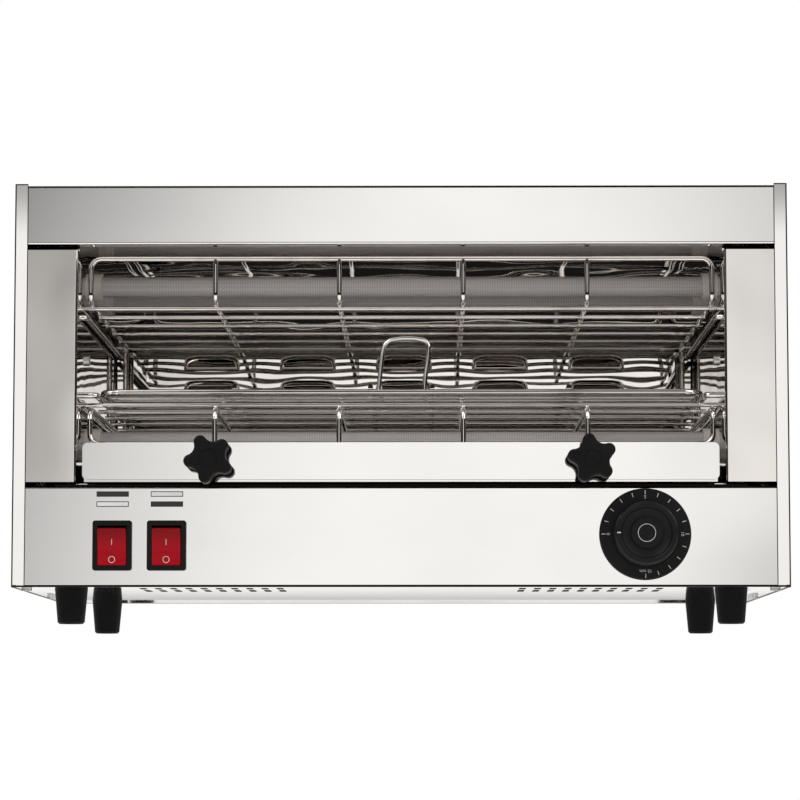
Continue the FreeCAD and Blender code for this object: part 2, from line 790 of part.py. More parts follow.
def rear_panel():
    """Flat back with a bottom return, ventilation slots, screw holes and the gland's hole."""
    part = Folded("rear_panel")
    wall = s.sheet_wall
    half = side_out - s.sheet_wall
    drawing = part.sketch("y", back - wall)
    rectangle(drawing, (-half, underside), (half, cover_top))
    circle(drawing, gland_x, underside + s.gland_height, s.gland_radius + s.cap_clearance)
    for sign in (-1, 1):
        for height in rear_screw_places():
            circle(drawing, sign * seam_screw_x, height, s.small_screw_radius + s.screw_hole_gap)
    part.pad("y", drawing, wall)
    shelf = part.sketch("z", underside)
    rectangle(shelf, (-return_half, back - wall - s.panel_return), (return_half, back - wall))
    part.pad("z", shelf, wall)
    drawing = part.sketch("y", back - wall)
    slot(drawing, -s.vent_offset, underside + s.rear_vent_height - s.vent_length / 2,
         s.vent_length, s.vent_width)
    opening = part.pocket("y", drawing, wall)
    part.repeat(opening, "X_Axis", s.vent_pitch, s.vent_count)
    keep(part.body, "rear_panel", "cabinet")


# Oven lining

def quartz_places():
    """Y and Z of the four tubes, by name."""
    rows = {
        "upper": ceiling - s.upper_quartz_drop,
        "lower": control_top + s.lower_quartz_rise,
    }
    return {
        f"{level}_{name}": (front + s.quartz_front_depth + shift, z)
        for level, z in rows.items()
        for name, shift in (("front", 0), ("rear", s.quartz_pitch))
    }


def bracket_pegs():
    """Y and Z of the four wire ends of a rack bracket that hook through the inner wall."""
    first = front + s.bracket_front_depth
    return [
        (first, lower_rail),
        (first, upper_rail),
        (upright_y, lower_rail - s.bracket_foot),
        (upright_y, upper_rail + s.bracket_head),
    ]


def guard_pegs():
    """Y and Z of the guards' front cross wires, which hook through the inner walls."""
    first = front + s.guard_front_depth + s.guard_bend
    return [
        (first, upper_guard_z),
        (first, lower_guard_z),
    ]


def wall_screw_place():
    """Y and Z of the screw on an inner wall."""
    return front + s.wall_screw_depth, (lower_rail + upper_rail) / 2


def oven_wall(label, sign):
    """Inner side wall with the cheek in front, a runner below and a flange above."""
    part = Folded(label)
    wall = s.sheet_wall
    drawing = part.sketch("z", oven_floor_top)
    rectangle(drawing, (sign * wall_in, front), (sign * wall_out, liner_front))
    part.pad("z", drawing, ceiling - oven_floor_top)
    cheek_foot = control_top + s.cheek_foot_gap
    cheek_top = header_foot - s.cheek_top_gap
    for low, high in ((oven_floor_top, cheek_foot), (cheek_top, ceiling)):
        relief = part.sketch("z", low)
        rectangle(
            relief,
            (sign * wall_in, front),
            (sign * wall_out, front + s.header_lip + wall),
        )
        part.pocket("z", relief, high - low)
    cheek = part.sketch("z", cheek_foot)
    rectangle(cheek, (sign * wall_in, front), (sign * face_half, front + wall))
    part.pad("z", cheek, cheek_top - cheek_foot)
    runner = part.sketch("z", oven_floor_top)
    rectangle(
        runner,
        (sign * (wall_in - s.runner_width), front + s.header_lip + wall),
        (sign * wall_in, liner_front - s.fit_gap),
    )
    part.pad("z", runner, wall)
    flange = part.sketch("z", ceiling - wall)
    rectangle(
        flange,
        (sign * wall_out, front + s.header_lip + wall),
        (sign * lining_half, liner_front - s.fit_gap),
    )
    part.pad("z", flange, wall)
    holes = part.sketch("x", sign * wall_in if sign > 0 else -wall_out)
    for y, z in quartz_places().values():
        circle(holes, y, z, s.cap_neck_radius + s.cap_clearance)
    for y, z in bracket_pegs():
        circle(holes, y, z, s.bracket_wire / 2 + s.cap_clearance)
    for y, z in guard_pegs():
        circle(holes, y, z, s.grid_wire / 2 + s.cap_clearance)
    circle(holes, *wall_screw_place(), s.small_screw_radius + s.screw_hole_gap)
    part.pocket("x", holes, wall)
    part.round(s.bend_radius, runs_along("z", x=[sign * wall_in], y=[front]))
    keep(part.body, label, "cabinet")


def oven_floor():
    """Sheet between the oven and the control compartment."""
    floor = box(
        "oven_floor_sheet",
        (-lining_half, front + s.sheet_wall, control_top),
        (lining_half, back - s.sheet_wall - s.fit_gap, oven_floor_top),
    )
    keep(floor, "oven_floor", "cabinet")


def oven_ceiling():
    """Polished reflector above the upper tubes, with a stiffening front edge."""
    part = Folded("ceiling_reflector")
    wall = s.sheet_wall
    first = front + s.header_lip + wall
    drawing = part.sketch("x", -lining_half)
    outline(drawing, [
        (first, ceiling),
        (first, ceiling + s.header_lip),
        (first + wall, ceiling + s.header_lip),
        (first + wall, ceiling + wall),
        (liner_front + wall, ceiling + wall),
        (liner_front + wall, ceiling),
    ])
    part.pad("x", drawing, 2 * lining_half)
    keep(part.body, "ceiling_reflector", "cabinet")


def guard_runs():
    """X of all the wires of a guard that run from front to back."""
    ribs = int(float(s.guard_rib_count))
    inner = [s.guard_rib_pitch * (index - (ribs - 1) / 2) for index in range(ribs)]
    return [-guard_half] + inner + [guard_half]


def guard_wire_lift():
    """Centre of a cross wire to the centre of the rib that it is welded to."""
    return (s.guard_wire + s.grid_wire) / 2 - s.weld_sink


def louvred_back():
    """Polished back of the oven with two rows of hooded louvres and holes for the guards."""
    part = Folded("louvred_back")
    wall = s.sheet_wall
    drawing = part.sketch("y", liner_front)
    rectangle(drawing, (-lining_half, oven_floor_top), (lining_half, ceiling))
    for x in guard_runs():
        for z in (upper_guard_z + guard_wire_lift(), lower_guard_z - guard_wire_lift()):
            circle(drawing, x, z, s.guard_wire / 2 + s.cap_clearance)
    part.pad("y", drawing, wall)
    first = -s.louvre_pitch * (s.louvre_count - 1) / 2
    for drop in (size(0), s.louvre_drop):
        top = ceiling - s.louvre_upper_drop + s.louvre_height / 2 - drop
        foot = top - s.louvre_height
        hood = part.sketch("x", first - s.louvre_width / 2)
        outline(hood, [
            (liner_front, top),
            (liner_front - s.louvre_reach, foot + wall),
            (liner_front - s.louvre_reach, foot),
            (liner_front, foot),
        ])
        part.repeat(part.pad("x", hood, s.louvre_width), "X_Axis", s.louvre_pitch, s.louvre_count)
        hollow = part.sketch("x", first - s.louvre_width / 2 + wall)
        outline(hollow, [
            (liner_front + wall, top - 2 * wall),
            (liner_front, top - 2 * wall),
            (liner_front - s.louvre_reach + wall, foot + wall / 2),
            (liner_front - s.louvre_reach + wall, foot),
            (liner_front + wall, foot),
        ])
        opening = part.pocket("x", hollow, s.louvre_width - 2 * wall)
        part.repeat(opening, "X_Axis", s.louvre_pitch, s.louvre_count)
    keep(part.body, "louvred_back", "cabinet")


# Heaters

def quartz_tube(name, y, z):
    """Milky quartz tube, open at both ends."""
    half = wall_in - s.cap_collar + s.quartz_seat
    part = Folded(name)
    drawing = part.sketch("x", -half)
    circle(drawing, y, z, s.quartz_radius)
    circle(drawing, y, z, s.quartz_radius - s.quartz_wall)
    part.pad("x", drawing, 2 * half)
    keep(part.body, name, "cabinet")


def end_cap(name, sign, y, z):
    """Ceramic cap: a collar inside the oven and a neck through the wall."""
    outline_radius = s.cap_radius
    inner = wall_in - s.cap_collar
    outer = wall_out + s.cap_neck
    seat = inner + s.quartz_seat + s.fit_gap
    spans = {
        "collar": (inner, wall_in, outline_radius),
        "neck": (wall_in, outer, s.cap_neck_radius),
        "seat": (inner, seat, s.quartz_radius + s.cap_clearance),
        "bore": (seat, outer, s.pin_radius + s.cap_clearance),
    }
    rods = {}
    for key, (low, high, radius) in spans.items():
        start = low if sign > 0 else -high
        rods[key] = rod(f"{name}_{key}", "x", (start, y, z), high - low, radius)
    body = fused(name + "_body", [rods["collar"], rods["neck"]])
    return cut(name, body, [rods["seat"], rods["bore"]])


def terminal(name, sign, y, z):
    """Terminal pin of a tube with its nut."""
    outer = wall_out + s.cap_neck
    start = wall_in + s.fit_gap
    length = outer + s.pin_reach - start
    pin = rod(f"{name}_pin", "x", (start if sign > 0 else -start - length, y, z), length, s.pin_radius)
    nut_low = outer if sign > 0 else -outer - s.nut_length
    nut = doc.addObject("Part::Prism", name + "_nut")
    nut.Polygon = 6
    bind(nut, "Circumradius", s.nut_radius)
    bind(nut, "Height", s.nut_length)
    place(nut, nut_low, y, z, TURNS["x"])
    return fused(name, [pin, nut])


def heaters():
    """Tubes, coils, end caps and terminals."""
    coils = {"upper": [], "lower": []}
    caps = {"upper": [], "lower": []}
    pins = []
    for key, (y, z) in quartz_places().items():
        level = key.split("_")[0]
        quartz_tube(f"{key}_quartz_tube", y, z)
        half = wall_in + s.fit_gap
        coils[level].append(rod(f"{key}_coil", "x", (-half, y, z), 2 * half, s.coil_radius))
        for side, sign in (("left", -1), ("right", 1)):
            caps[level].append(end_cap(f"{key}_{side}_cap", sign, y, z))
            pins.append(terminal(f"{key}_{side}_terminal", sign, y, z))
    for level in ("upper", "lower"):
        keep(grouped(f"{level}_coils", coils[level]), f"{level}_heating_coils", "cabinet")
        keep(grouped(f"{level}_caps", caps[level]), f"{level}_end_caps", "cabinet")
    keep(grouped("terminal_group", pins), "tube_terminals", "cabinet")


# Wire guards

def guard(label, plane, reach, sign):
    """Basket of welded wire between the rack and a pair of tubes."""
    first = front + s.guard_front_depth
    rear = liner_front + s.sheet_wall + s.peg_reach
    base = plane + sign * guard_wire_lift()
    rod_z = plane + sign * reach
    half = guard_half
    frame = bent_wire(f"{label}_frame", [
        (-half, rear, base),
        (-half, first, base),
        (-half, first, rod_z),
        (half, first, rod_z),
        (half, first, base),
        (half, rear, base),
    ], s.guard_bend, s.guard_wire / 2)
    wires = [frame]
    for x in guard_runs()[1:-1]:
        wires.append(bent_wire(f"{label}_rib", [
            (x, rear, base),
            (x, first, base),
            (x, first, rod_z),
        ], s.guard_bend, s.guard_wire / 2))
    count = int(float(s.guard_cross_count))
    start = first + s.guard_bend
    pitch = (liner_front - s.guard_rear_gap - start) / (count - 1)
    for index in range(count):
        span = wall_out + s.peg_reach if index == 0 else half
        wires.append(rod(
            f"{label}_cross", "x", (-span, start + pitch * index, plane), 2 * span, s.grid_wire / 2
        ))
    keep(fused(label + "_welded", wires), label, "cabinet")


# Rack and brackets

def rack_bracket(label, sign):
    """Upright at the back and the two rails welded to it, all hooked into the inner wall."""
    peg_x = wall_out + s.peg_reach
    step = s.bracket_wire - s.weld_sink
    first = front + s.bracket_front_depth
    radius = s.bracket_wire / 2
    foot = lower_rail - s.bracket_foot
    head = upper_rail + s.bracket_head
    wires = [bent_wire(f"{label}_upright", [
        (sign * peg_x, upright_y, head),
        (sign * upright_x, upright_y, head),
        (sign * upright_x, upright_y, foot),
        (sign * peg_x, upright_y, foot),
    ], s.bracket_bend, radius)]
    for rail_x, z in ((upright_x - step, lower_rail), (upright_x + step, upper_rail)):
        wires.append(bent_wire(f"{label}_rail", [
            (sign * peg_x, first, z),
            (sign * rail_x, first, z),
            (sign * rail_x, upright_y + s.bracket_wire, z),
        ], s.bracket_bend, radius))
    keep(fused(label + "_welded", wires), label, "cabinet")


rack_half = wall_in - s.rack_side_gap
rack_first = front + s.rack_front_depth
rack_last = liner_front - s.rack_rear_gap


def toasting_rack():
    """Closed frame rod, cross wires inside it and four lengthwise wires on top."""
    half = rack_half
    frame = bent_wire("rack_frame", [
        (-half, rack_first, rack_z),
        (half, rack_first, rack_z),
        (half, rack_last, rack_z),
        (-half, rack_last, rack_z),
    ], s.rack_corner, s.rack_rod / 2, closed=True)
    rib_z = rack_z + (s.rack_rod + s.rack_rib) / 2 - s.weld_sink
    cross_z = rib_z - (s.rack_rib + s.grid_wire) / 2 + s.weld_sink
    wires = [frame]
    count = int(float(s.rack_cross_count))
    pitch = (rack_last - rack_first) / (count + 1)
    for index in range(1, count + 1):
        wires.append(rod(
            "rack_cross", "x", (-half, rack_first + pitch * index, cross_z), 2 * half, s.grid_wire / 2
        ))
    for x in (-s.rack_outer_rib, -s.rack_inner_rib, s.rack_inner_rib, s.rack_outer_rib):
        wires.append(rod("rack_rib", "y", (x, rack_first, rib_z), rack_last - rack_first, s.rack_rib / 2))
    keep(fused("rack_welded", wires), "toasting_rack", "rack")


def rack_loop():
    """Loop handle that stands on the rack's front rod."""
    foot = rack_z + s.rack_rod / 2
    top = rack_z + s.loop_rise - s.loop_wire / 2
    loop = bent_wire("rack_loop", [
        (-s.loop_base / 2, rack_first, foot),
        (s.loop_lean - s.loop_top / 2, rack_first, top),
        (s.loop_lean + s.loop_top / 2, rack_first, top),
        (s.loop_base / 2, rack_first, foot),
    ], s.guard_bend, s.loop_wire / 2)
    trim = box(
        "rack_loop_trim",
        (-s.loop_base, rack_first - s.rack_rod, foot - s.loop_wire),
        (s.loop_base, rack_first + s.rack_rod, foot),
    )
    keep(cut("rack_loop_seated", loop, [trim]), "rack_loop_handle", "rack")


# Crumb tray

pan_under = runner_top + s.running_gap
plate_foot = control_top + s.tray_gap
plate_top = plate_foot + s.tray_plate_height
plate_front = front - s.tray_proud
star_z = (plate_foot + plate_top) / 2


def tray_pan():
    """Shallow open pan with a higher front wall."""
    part = Folded("crumb_tray_pan")
    half = tray_half - s.pan_inset
    first = plate_front + s.sheet_wall
    last = liner_front - s.pan_rear_gap
    drawing = part.sketch("z", pan_under)
    rectangle(drawing, (-half, first), (half, last))
    part.pad("z", drawing, s.pan_height)
    hollow = part.sketch("z", pan_under + s.pan_wall)
    rectangle(
        hollow,
        (-half + s.pan_wall, first + s.pan_wall),
        (half - s.pan_wall, last - s.pan_wall),
    )
    part.pocket("z", hollow, s.pan_height)
    wall = part.sketch("y", first)
    rectangle(wall, (-half + s.tray_corner, pan_under), (half - s.tray_corner, plate_top - s.sheet_wall))
    part.pad("y", wall, s.pan_wall)
    holes = part.sketch("y", first)
    for sign in (-1, 1):
        circle(holes, sign * star_x, star_z, s.stud_radius + s.screw_hole_gap)
    part.pocket("y", holes, s.pan_wall)
    keep(part.body, "crumb_tray_pan", "tray")


def tray_front():
    """Front plate with rounded corners and a return along its top."""
    part = Folded("crumb_tray_front")
    half = tray_half
    drawing = part.sketch("y", plate_front)
    rectangle(drawing, (-half, plate_foot), (half, plate_top))
    for sign in (-1, 1):
        circle(drawing, sign * star_x, star_z, s.stud_radius + s.screw_hole_gap)
    part.pad("y", drawing, s.sheet_wall)
    part.round(s.tray_corner, runs_along("y", x=[-half, half], z=[plate_foot, plate_top]))
    lip = part.sketch("z", plate_top - s.sheet_wall)
    rectangle(
        lip,
        (-half + s.tray_corner, plate_front + s.sheet_wall),
        (half - s.tray_corner, plate_front + s.sheet_wall + s.tray_return),
    )
    part.pad("z", lip, s.sheet_wall)
    keep(part.body, "crumb_tray_front", "tray")


def tray_studs():
    """Two studs whose heads sit inside the pan and whose threads carry the star knobs."""
    inside = plate_front + s.sheet_wall + s.pan_wall
    tip = plate_front - s.fit_gap - s.insert_length + s.sheet_wall
    studs = []
    for sign in (-1, 1):
        shank = rod("stud_shank", "y", (sign * star_x, tip, star_z), inside - tip, s.stud_radius)
        head = rod("stud_head", "y", (sign * star_x, inside, star_z), s.screw_head_height, s.stud_head)
        studs.append(fused("tray_stud", [shank, head]))
    keep(grouped("stud_group", studs), "tray_studs", "tray")


def star_face(x, y, turn):
    """Face of the star outline: round tips joined by hollow arcs, all tangent."""
    tip = float(s.star_tip)
    ring = float(s.star_radius) - tip
    valley = float(s.star_valley)
    lobes = int(float(s.star_lobes))
    half = math.pi / lobes
    reach = ring * math.cos(half)
    hollow = (ring ** 2 + valley ** 2 - 2 * reach * valley - tip ** 2) / (2 * (reach + tip - valley))
    edges = []

    def spot(angle, distance):
        return V(x + distance * math.cos(angle), y, float(star_z) + distance * math.sin(angle))

    for index in range(lobes):
        lobe = math.radians(turn) + 2 * half * index
        middle = spot(lobe, ring)
        left = spot(lobe + half, valley + hollow)
        right = spot(lobe - half, valley + hollow)
        after = spot(lobe + 2 * half, ring)
        start = middle + (right - middle).normalize() * tip
        end = middle + (left - middle).normalize() * tip
        joint = after + (left - after).normalize() * tip
        edges.append(Part.Arc(start, spot(lobe, ring + tip), end).toShape())
        edges.append(Part.Arc(end, spot(lobe + half, valley), joint).toShape())
    return Part.Face(Part.Wire(edges))


def star_knob(side, sign, turn):
    """Moulded star knob with a hub, a cap in its face and a brass insert."""
    x = sign * star_x
    rear = plate_front - s.fit_gap
    head_rear = rear - s.star_hub
    tip = head_rear - s.star_head
    head = doc.addObject("Part::Feature", f"{side}_star_head")
    head.Shape = star_face(float(x), float(head_rear), float(turn)).extrude(V(0, -float(s.star_head), 0))
    rounded = doc.addObject("Part::Fillet", f"{side}_star_rounded")
    rounded.Base = head
    rounded.Edges = [
        (index, float(s.star_round), float(s.star_round))
        for index, edge in enumerate(head.Shape.Edges, start=1)
        if all(abs(vertex.Point.y - float(tip)) < 0.01 for vertex in edge.Vertexes)
    ]
    hub = rod(f"{side}_star_hub", "y", (x, head_rear, star_z), s.star_hub, s.star_hub_radius)
    solid = fused(f"{side}_star_solid", [rounded, hub])
    bore = rod(
        f"{side}_star_bore", "y", (x, rear - s.insert_length, star_z), s.insert_length, s.insert_radius
    )
    recess = rod(
        f"{side}_star_recess", "y", (x, tip, star_z), s.star_cap_depth, s.star_cap_radius
    )
    knob = cut(f"{side}_star", solid, [bore, recess])
    keep(knob, f"{side}_star_knob", f"{side}_star")
    cap = rod(
        f"{side}_star_plug", "y", (x, tip + s.star_cap_depth / 4, star_z), s.star_cap_depth * 3 / 4,
        s.star_cap_radius - s.cap_clearance,
    )
    keep(cap, f"{side}_star_cap", f"{side}_star")
    ring = rod(
        f"{side}_insert_ring", "y", (x, rear - s.insert_length, star_z), s.insert_length, s.insert_radius
    )
    thread = rod(
        f"{side}_insert_bore", "y", (x, rear - s.insert_length, star_z), s.insert_length,
        s.stud_radius + s.bearing_gap,
    )
    keep(cut(f"{side}_insert", ring, [thread]), f"{side}_star_insert", f"{side}_star")


# Rocker switches

bezel_front = front - s.bezel_thick
pivot_y = bezel_front + s.rocker_pivot


def switch_housing(side, x):
    """Bezel and housing with the opening for the rocker and holes for its trunnions."""
    part = Folded(f"{side}_switch_housing")
    bezel = part.sketch("y", bezel_front)
    rectangle(
        bezel,
        (x - s.bezel_width / 2, switch_z - s.bezel_tall / 2),
        (x + s.bezel_width / 2, switch_z + s.bezel_tall / 2),
    )
    part.pad("y", bezel, s.bezel_thick)
    part.round(s.bend_radius, runs_along(
        "y",
        x=[x - s.bezel_width / 2, x + s.bezel_width / 2],
        z=[switch_z - s.bezel_tall / 2, switch_z + s.bezel_tall / 2],
    ))
    case = part.sketch("y", front)
    rectangle(
        case,
        (x - s.housing_width / 2, switch_z - s.housing_tall / 2),
        (x + s.housing_width / 2, switch_z + s.housing_tall / 2),
    )
    part.pad("y", case, s.housing_length)
    window = part.sketch("y", bezel_front)
    rectangle(
        window,
        (x - s.window_width / 2, switch_z - s.window_tall / 2),
        (x + s.window_width / 2, switch_z + s.window_tall / 2),
    )
    part.pocket("y", window, s.window_depth)
    reach = s.window_width / 2 + s.trunnion_reach
    bearing = part.sketch("x", x - reach)
    circle(bearing, pivot_y, switch_z, s.trunnion_radius + s.bearing_gap)
    part.pocket("x", bearing, 2 * reach)
    keep(part.body, f"{side}_switch_housing", "cabinet")


def rocker(side, x):
    """Rocker with a hollow face, tilted so that its lower end is pressed in."""
    half_width = s.window_width / 2 - s.rocker_gap
    part = Folded(f"{side}_rocker")
    drawing = part.sketch("x", -half_width)
    half = s.rocker_tall / 2
    face = -s.rocker_pivot - s.rocker_proud
    outline(drawing, [
        (face, -half),
        (face + s.rocker_hollow, 0),
        (face, half),
        (-s.rocker_shoulder, half),
        (s.rocker_tail - s.rocker_pivot, half / 2),
        (s.rocker_tail - s.rocker_pivot, -half / 2),
        (-s.rocker_shoulder, -half),
    ])
    part.pad("x", drawing, 2 * half_width)
    pin = part.sketch("x", -half_width - s.rocker_gap - s.trunnion_reach + s.bearing_gap)
    circle(pin, 0, 0, s.trunnion_radius)
    part.pad("x", pin, 2 * (half_width + s.rocker_gap + s.trunnion_reach - s.bearing_gap))
    tilt = FreeCAD.Rotation(V(1, 0, 0), 1)
    part.body.Placement = FreeCAD.Placement(V(0, 0, 0), tilt)
    bind(part.body, "Placement.Rotation.Angle", s.rocker_tilt)
    place(part.body, x, pivot_y, switch_z)
    keep(part.body, f"{side}_rocker", f"{side}_rocker_body")


def switch_blades():
    """Four flat terminal blades behind each switch."""
    blades = []
    rear = front + s.housing_length
    for x in switch_places():
        for side in (-1, 1):
            for level in (-1, 1):
                middle_x = x + side * s.housing_width / 4
                middle_z = switch_z + level * s.blade_spread / 2
                blades.append(box(
                    "switch_blade",
                    (middle_x - s.blade_width / 2, rear, middle_z - s.blade_thick / 2),
                    (middle_x + s.blade_width / 2, rear + s.blade_length, middle_z + s.blade_thick / 2),
                ))
    keep(grouped("blade_group", blades), "switch_terminals", "cabinet")


# Timer

def scale_disc():
    """Fixed disc under the timer knob, hollowed behind for the two case screws."""
    part = Folded("timer_scale_disc")
    first = front - s.scale_thick
    drawing = part.sketch("y", first)
    circle(drawing, timer_x, timer_z, s.scale_radius)
    circle(drawing, timer_x, timer_z, s.shaft_hole_radius)
    part.pad("y", drawing, s.scale_thick)
    pockets = part.sketch("y", front - s.screw_head_height - s.fit_gap)
    for z in case_screw_places():
        circle(pockets, timer_x, z, s.screw_head_radius + s.fit_gap)
    part.pocket("y", pockets, s.screw_head_height + s.fit_gap)
    tip = part.body.Tip
    rim = [
        f"Edge{index}"
        for index, edge in enumerate(tip.Shape.Edges, start=1)
        if edge.Length > 6 * float(s.scale_radius) and abs(edge.CenterOfMass.y - float(first)) < 0.01
    ]
    bevel = part.body.newObject("PartDesign::Chamfer", "timer_scale_bevel")
    bevel.Base = (tip, rim)
    bind(bevel, "Size", s.scale_chamfer)
    doc.recompute([bevel], True)
    keep(part.body, "timer_scale_disc", "cabinet")


def dial_profile():
    """Half section of the timer knob about its axis, as radius and distance from the scale disc."""
    foot = s.fit_gap
    tip = s.dial_reach
    floor = tip - s.dial_dish
    return [
        (size(0), foot),
        (s.dial_radius, foot),
        (s.dial_radius, foot + 2 * s.sheet_wall),
        (s.dial_radius - s.dial_draft, tip - s.dial_rim / 2),
        (s.dial_radius - s.dial_draft - s.dial_rim / 2, tip),
        (s.dial_radius - s.dial_draft - s.dial_rim, tip),
        (s.dial_cap_radius + s.cap_clearance, floor),
        (s.dial_cap_radius + s.cap_clearance, floor - s.dial_cap_seat),
        (size(0), floor - s.dial_cap_seat),
    ]


def timer_knob():
    """Dished knob, its centre cap and the shaft, which turn together."""
    disc_front = front - s.scale_thick
    part = Folded("timer_knob")
    drawing = part.sketch("y", size(0))
    outline(drawing, dial_profile())
    turned = part.body.newObject("PartDesign::Revolution", "timer_knob_turned")
    turned.Profile = drawing
    turned.ReferenceAxis = (drawing, ["V_Axis"])
    turned.Angle = 360
    doc.recompute([turned], True)
    bore = part.sketch("z", s.fit_gap)
    circle(bore, 0, 0, s.timer_shaft_radius + s.cap_clearance / 5)
    part.pocket("z", bore, s.shaft_in_knob)
    place(part.body, timer_x, disc_front, timer_z, FreeCAD.Rotation(V(1, 0, 0), 90))
    keep(part.body, "timer_knob", "timer")
    floor = disc_front - s.dial_reach + s.dial_dish
    cap = rod(
        "timer_cap", "y", (timer_x, floor - s.dial_cap_proud, timer_z),
        s.dial_cap_proud + s.dial_cap_seat, s.dial_cap_radius,
    )
    keep(cap, "timer_knob_cap", "timer")
    tip = disc_front - s.fit_gap - s.shaft_in_knob
    inner_end = front + s.sheet_wall + s.shaft_in_body
    shaft = rod(
        "timer_shaft_rod", "y", (timer_x, tip, timer_z), inner_end - tip, s.timer_shaft_radius
    )
    keep(shaft, "timer_shaft", "timer")


def clockwork_case():
    """Case of the clockwork behind the panel, with the shaft's bearing."""
    part = Folded("clockwork_case")
    first = front + s.sheet_wall
    low = (timer_x - s.clockwork_width / 2, timer_z - s.clockwork_tall / 2)
    high = (timer_x + s.clockwork_width / 2, timer_z + s.clockwork_tall / 2)
    drawing = part.sketch("y", first)
    rectangle(drawing, low, high)
    part.pad("y", drawing, s.clockwork_length)
    part.round(s.clockwork_corner, runs_along("y", x=[low[0], high[0]], z=[low[1], high[1]]))
    bearing = part.sketch("y", first)
    circle(bearing, timer_x, timer_z, s.timer_shaft_radius + s.bearing_gap)
    part.pocket("y", bearing, s.shaft_in_body + s.fit_gap)
    threads = part.sketch("y", first)
    for z in case_screw_places():
        circle(threads, timer_x, z, s.small_screw_radius + s.screw_hole_gap)
    part.pocket("y", threads, s.screw_length)
    keep(part.body, "clockwork_case", "cabinet")


# Feet, fasteners and the mains connection

def feet():
    """Four rubber feet and the screws that hold them under the base."""
    bolts = []
    for name, (x, y) in foot_places().items():
        part = Folded(f"{name}_foot")
        drawing = part.sketch("y", size(0))
        hole = s.foot_bolt_radius + s.screw_hole_gap
        outline(drawing, [
            (hole, base_under),
            (s.foot_top_radius, base_under),
            (s.foot_tip_radius, s.foot_round),
            (s.foot_tip_radius - s.foot_round, 0),
            (s.foot_recess_radius, 0),
            (s.foot_recess_radius, s.foot_recess),
            (hole, s.foot_recess),
        ])
        turned = part.body.newObject("PartDesign::Revolution", f"{name}_foot_turned")
        turned.Profile = drawing
        turned.ReferenceAxis = (drawing, ["V_Axis"])
        turned.Angle = 360
        doc.recompute([turned], True)
        place(part.body, x, y, 0)
        keep(part.body, f"{name}_foot", "cabinet")
        shank = rod(
            f"{name}_shank", "z", (x, y, s.foot_recess), base_top + s.nut_length - s.foot_recess,
            s.foot_bolt_radius,
        )
        head_height = s.screw_head_height + s.sheet_wall
        head = rod(
            f"{name}_head", "z", (x, y, s.foot_recess - head_height), head_height,
            s.foot_recess_radius - s.sheet_wall,
        )
        nut = doc.addObject("Part::Prism", f"{name}_nut")
        nut.Polygon = 6
        bind(nut, "Circumradius", s.foot_bolt_radius * 2)
        bind(nut, "Height", s.nut_length)
        place(nut, x, y, base_top)
        bolts.append(fused(f"{name}_bolt", [shank, head, nut]))
    keep(grouped("bolt_group", bolts), "foot_screws", "cabinet")


def small_screw(name, axis, sign, x, y, z):
    """Pan head screw: its head lies at the given place, its thread runs along the axis."""
    letters = "xyz".index(axis)
    head_start = [x, y, z]
    shank_start = [x, y, z]
    if sign > 0:
        head_start[letters] = head_start[letters] - s.screw_head_height
        shank_start[letters] = shank_start[letters] - s.screw_head_height / 2
    else:
        shank_start[letters] = shank_start[letters] - s.screw_length
    head = rod(name + "_head", axis, head_start, s.screw_head_height, s.screw_head_radius)
    length = s.screw_length + s.screw_head_height / 2
    shank = rod(name + "_shank", axis, shank_start, length, s.small_screw_radius)
    return fused(name, [head, shank])


def cabinet_screws():
    """Screws under the cabinet, in its back, on the inner walls and in the timer case."""
    bottom = [
        small_screw("bottom_screw", "z", 1, sign * seam_screw_x, y, underside)
        for sign in (-1, 1)
        for y in bottom_screw_places()
    ]
    keep(grouped("bottom_screw_group", bottom), "bottom_screws", "cabinet")
    rear = [
        small_screw("rear_screw", "y", -1, sign * seam_screw_x, back, z)
        for sign in (-1, 1)
        for z in rear_screw_places()
    ]
    keep(grouped("rear_screw_group", rear), "rear_screws", "cabinet")
    y, z = wall_screw_place()
    walls = [
        small_screw("left_wall_screw", "x", -1, -wall_in, y, z),
        small_screw("right_wall_screw", "x", 1, wall_in, y, z),
    ]
    keep(grouped("wall_screw_group", walls), "oven_wall_screws", "cabinet")
    case = [
        small_screw("case_screw", "y", 1, timer_x, front, z)
        for z in case_screw_places()
    ]
    keep(grouped("case_screw_group", case), "timer_case_screws", "cabinet")


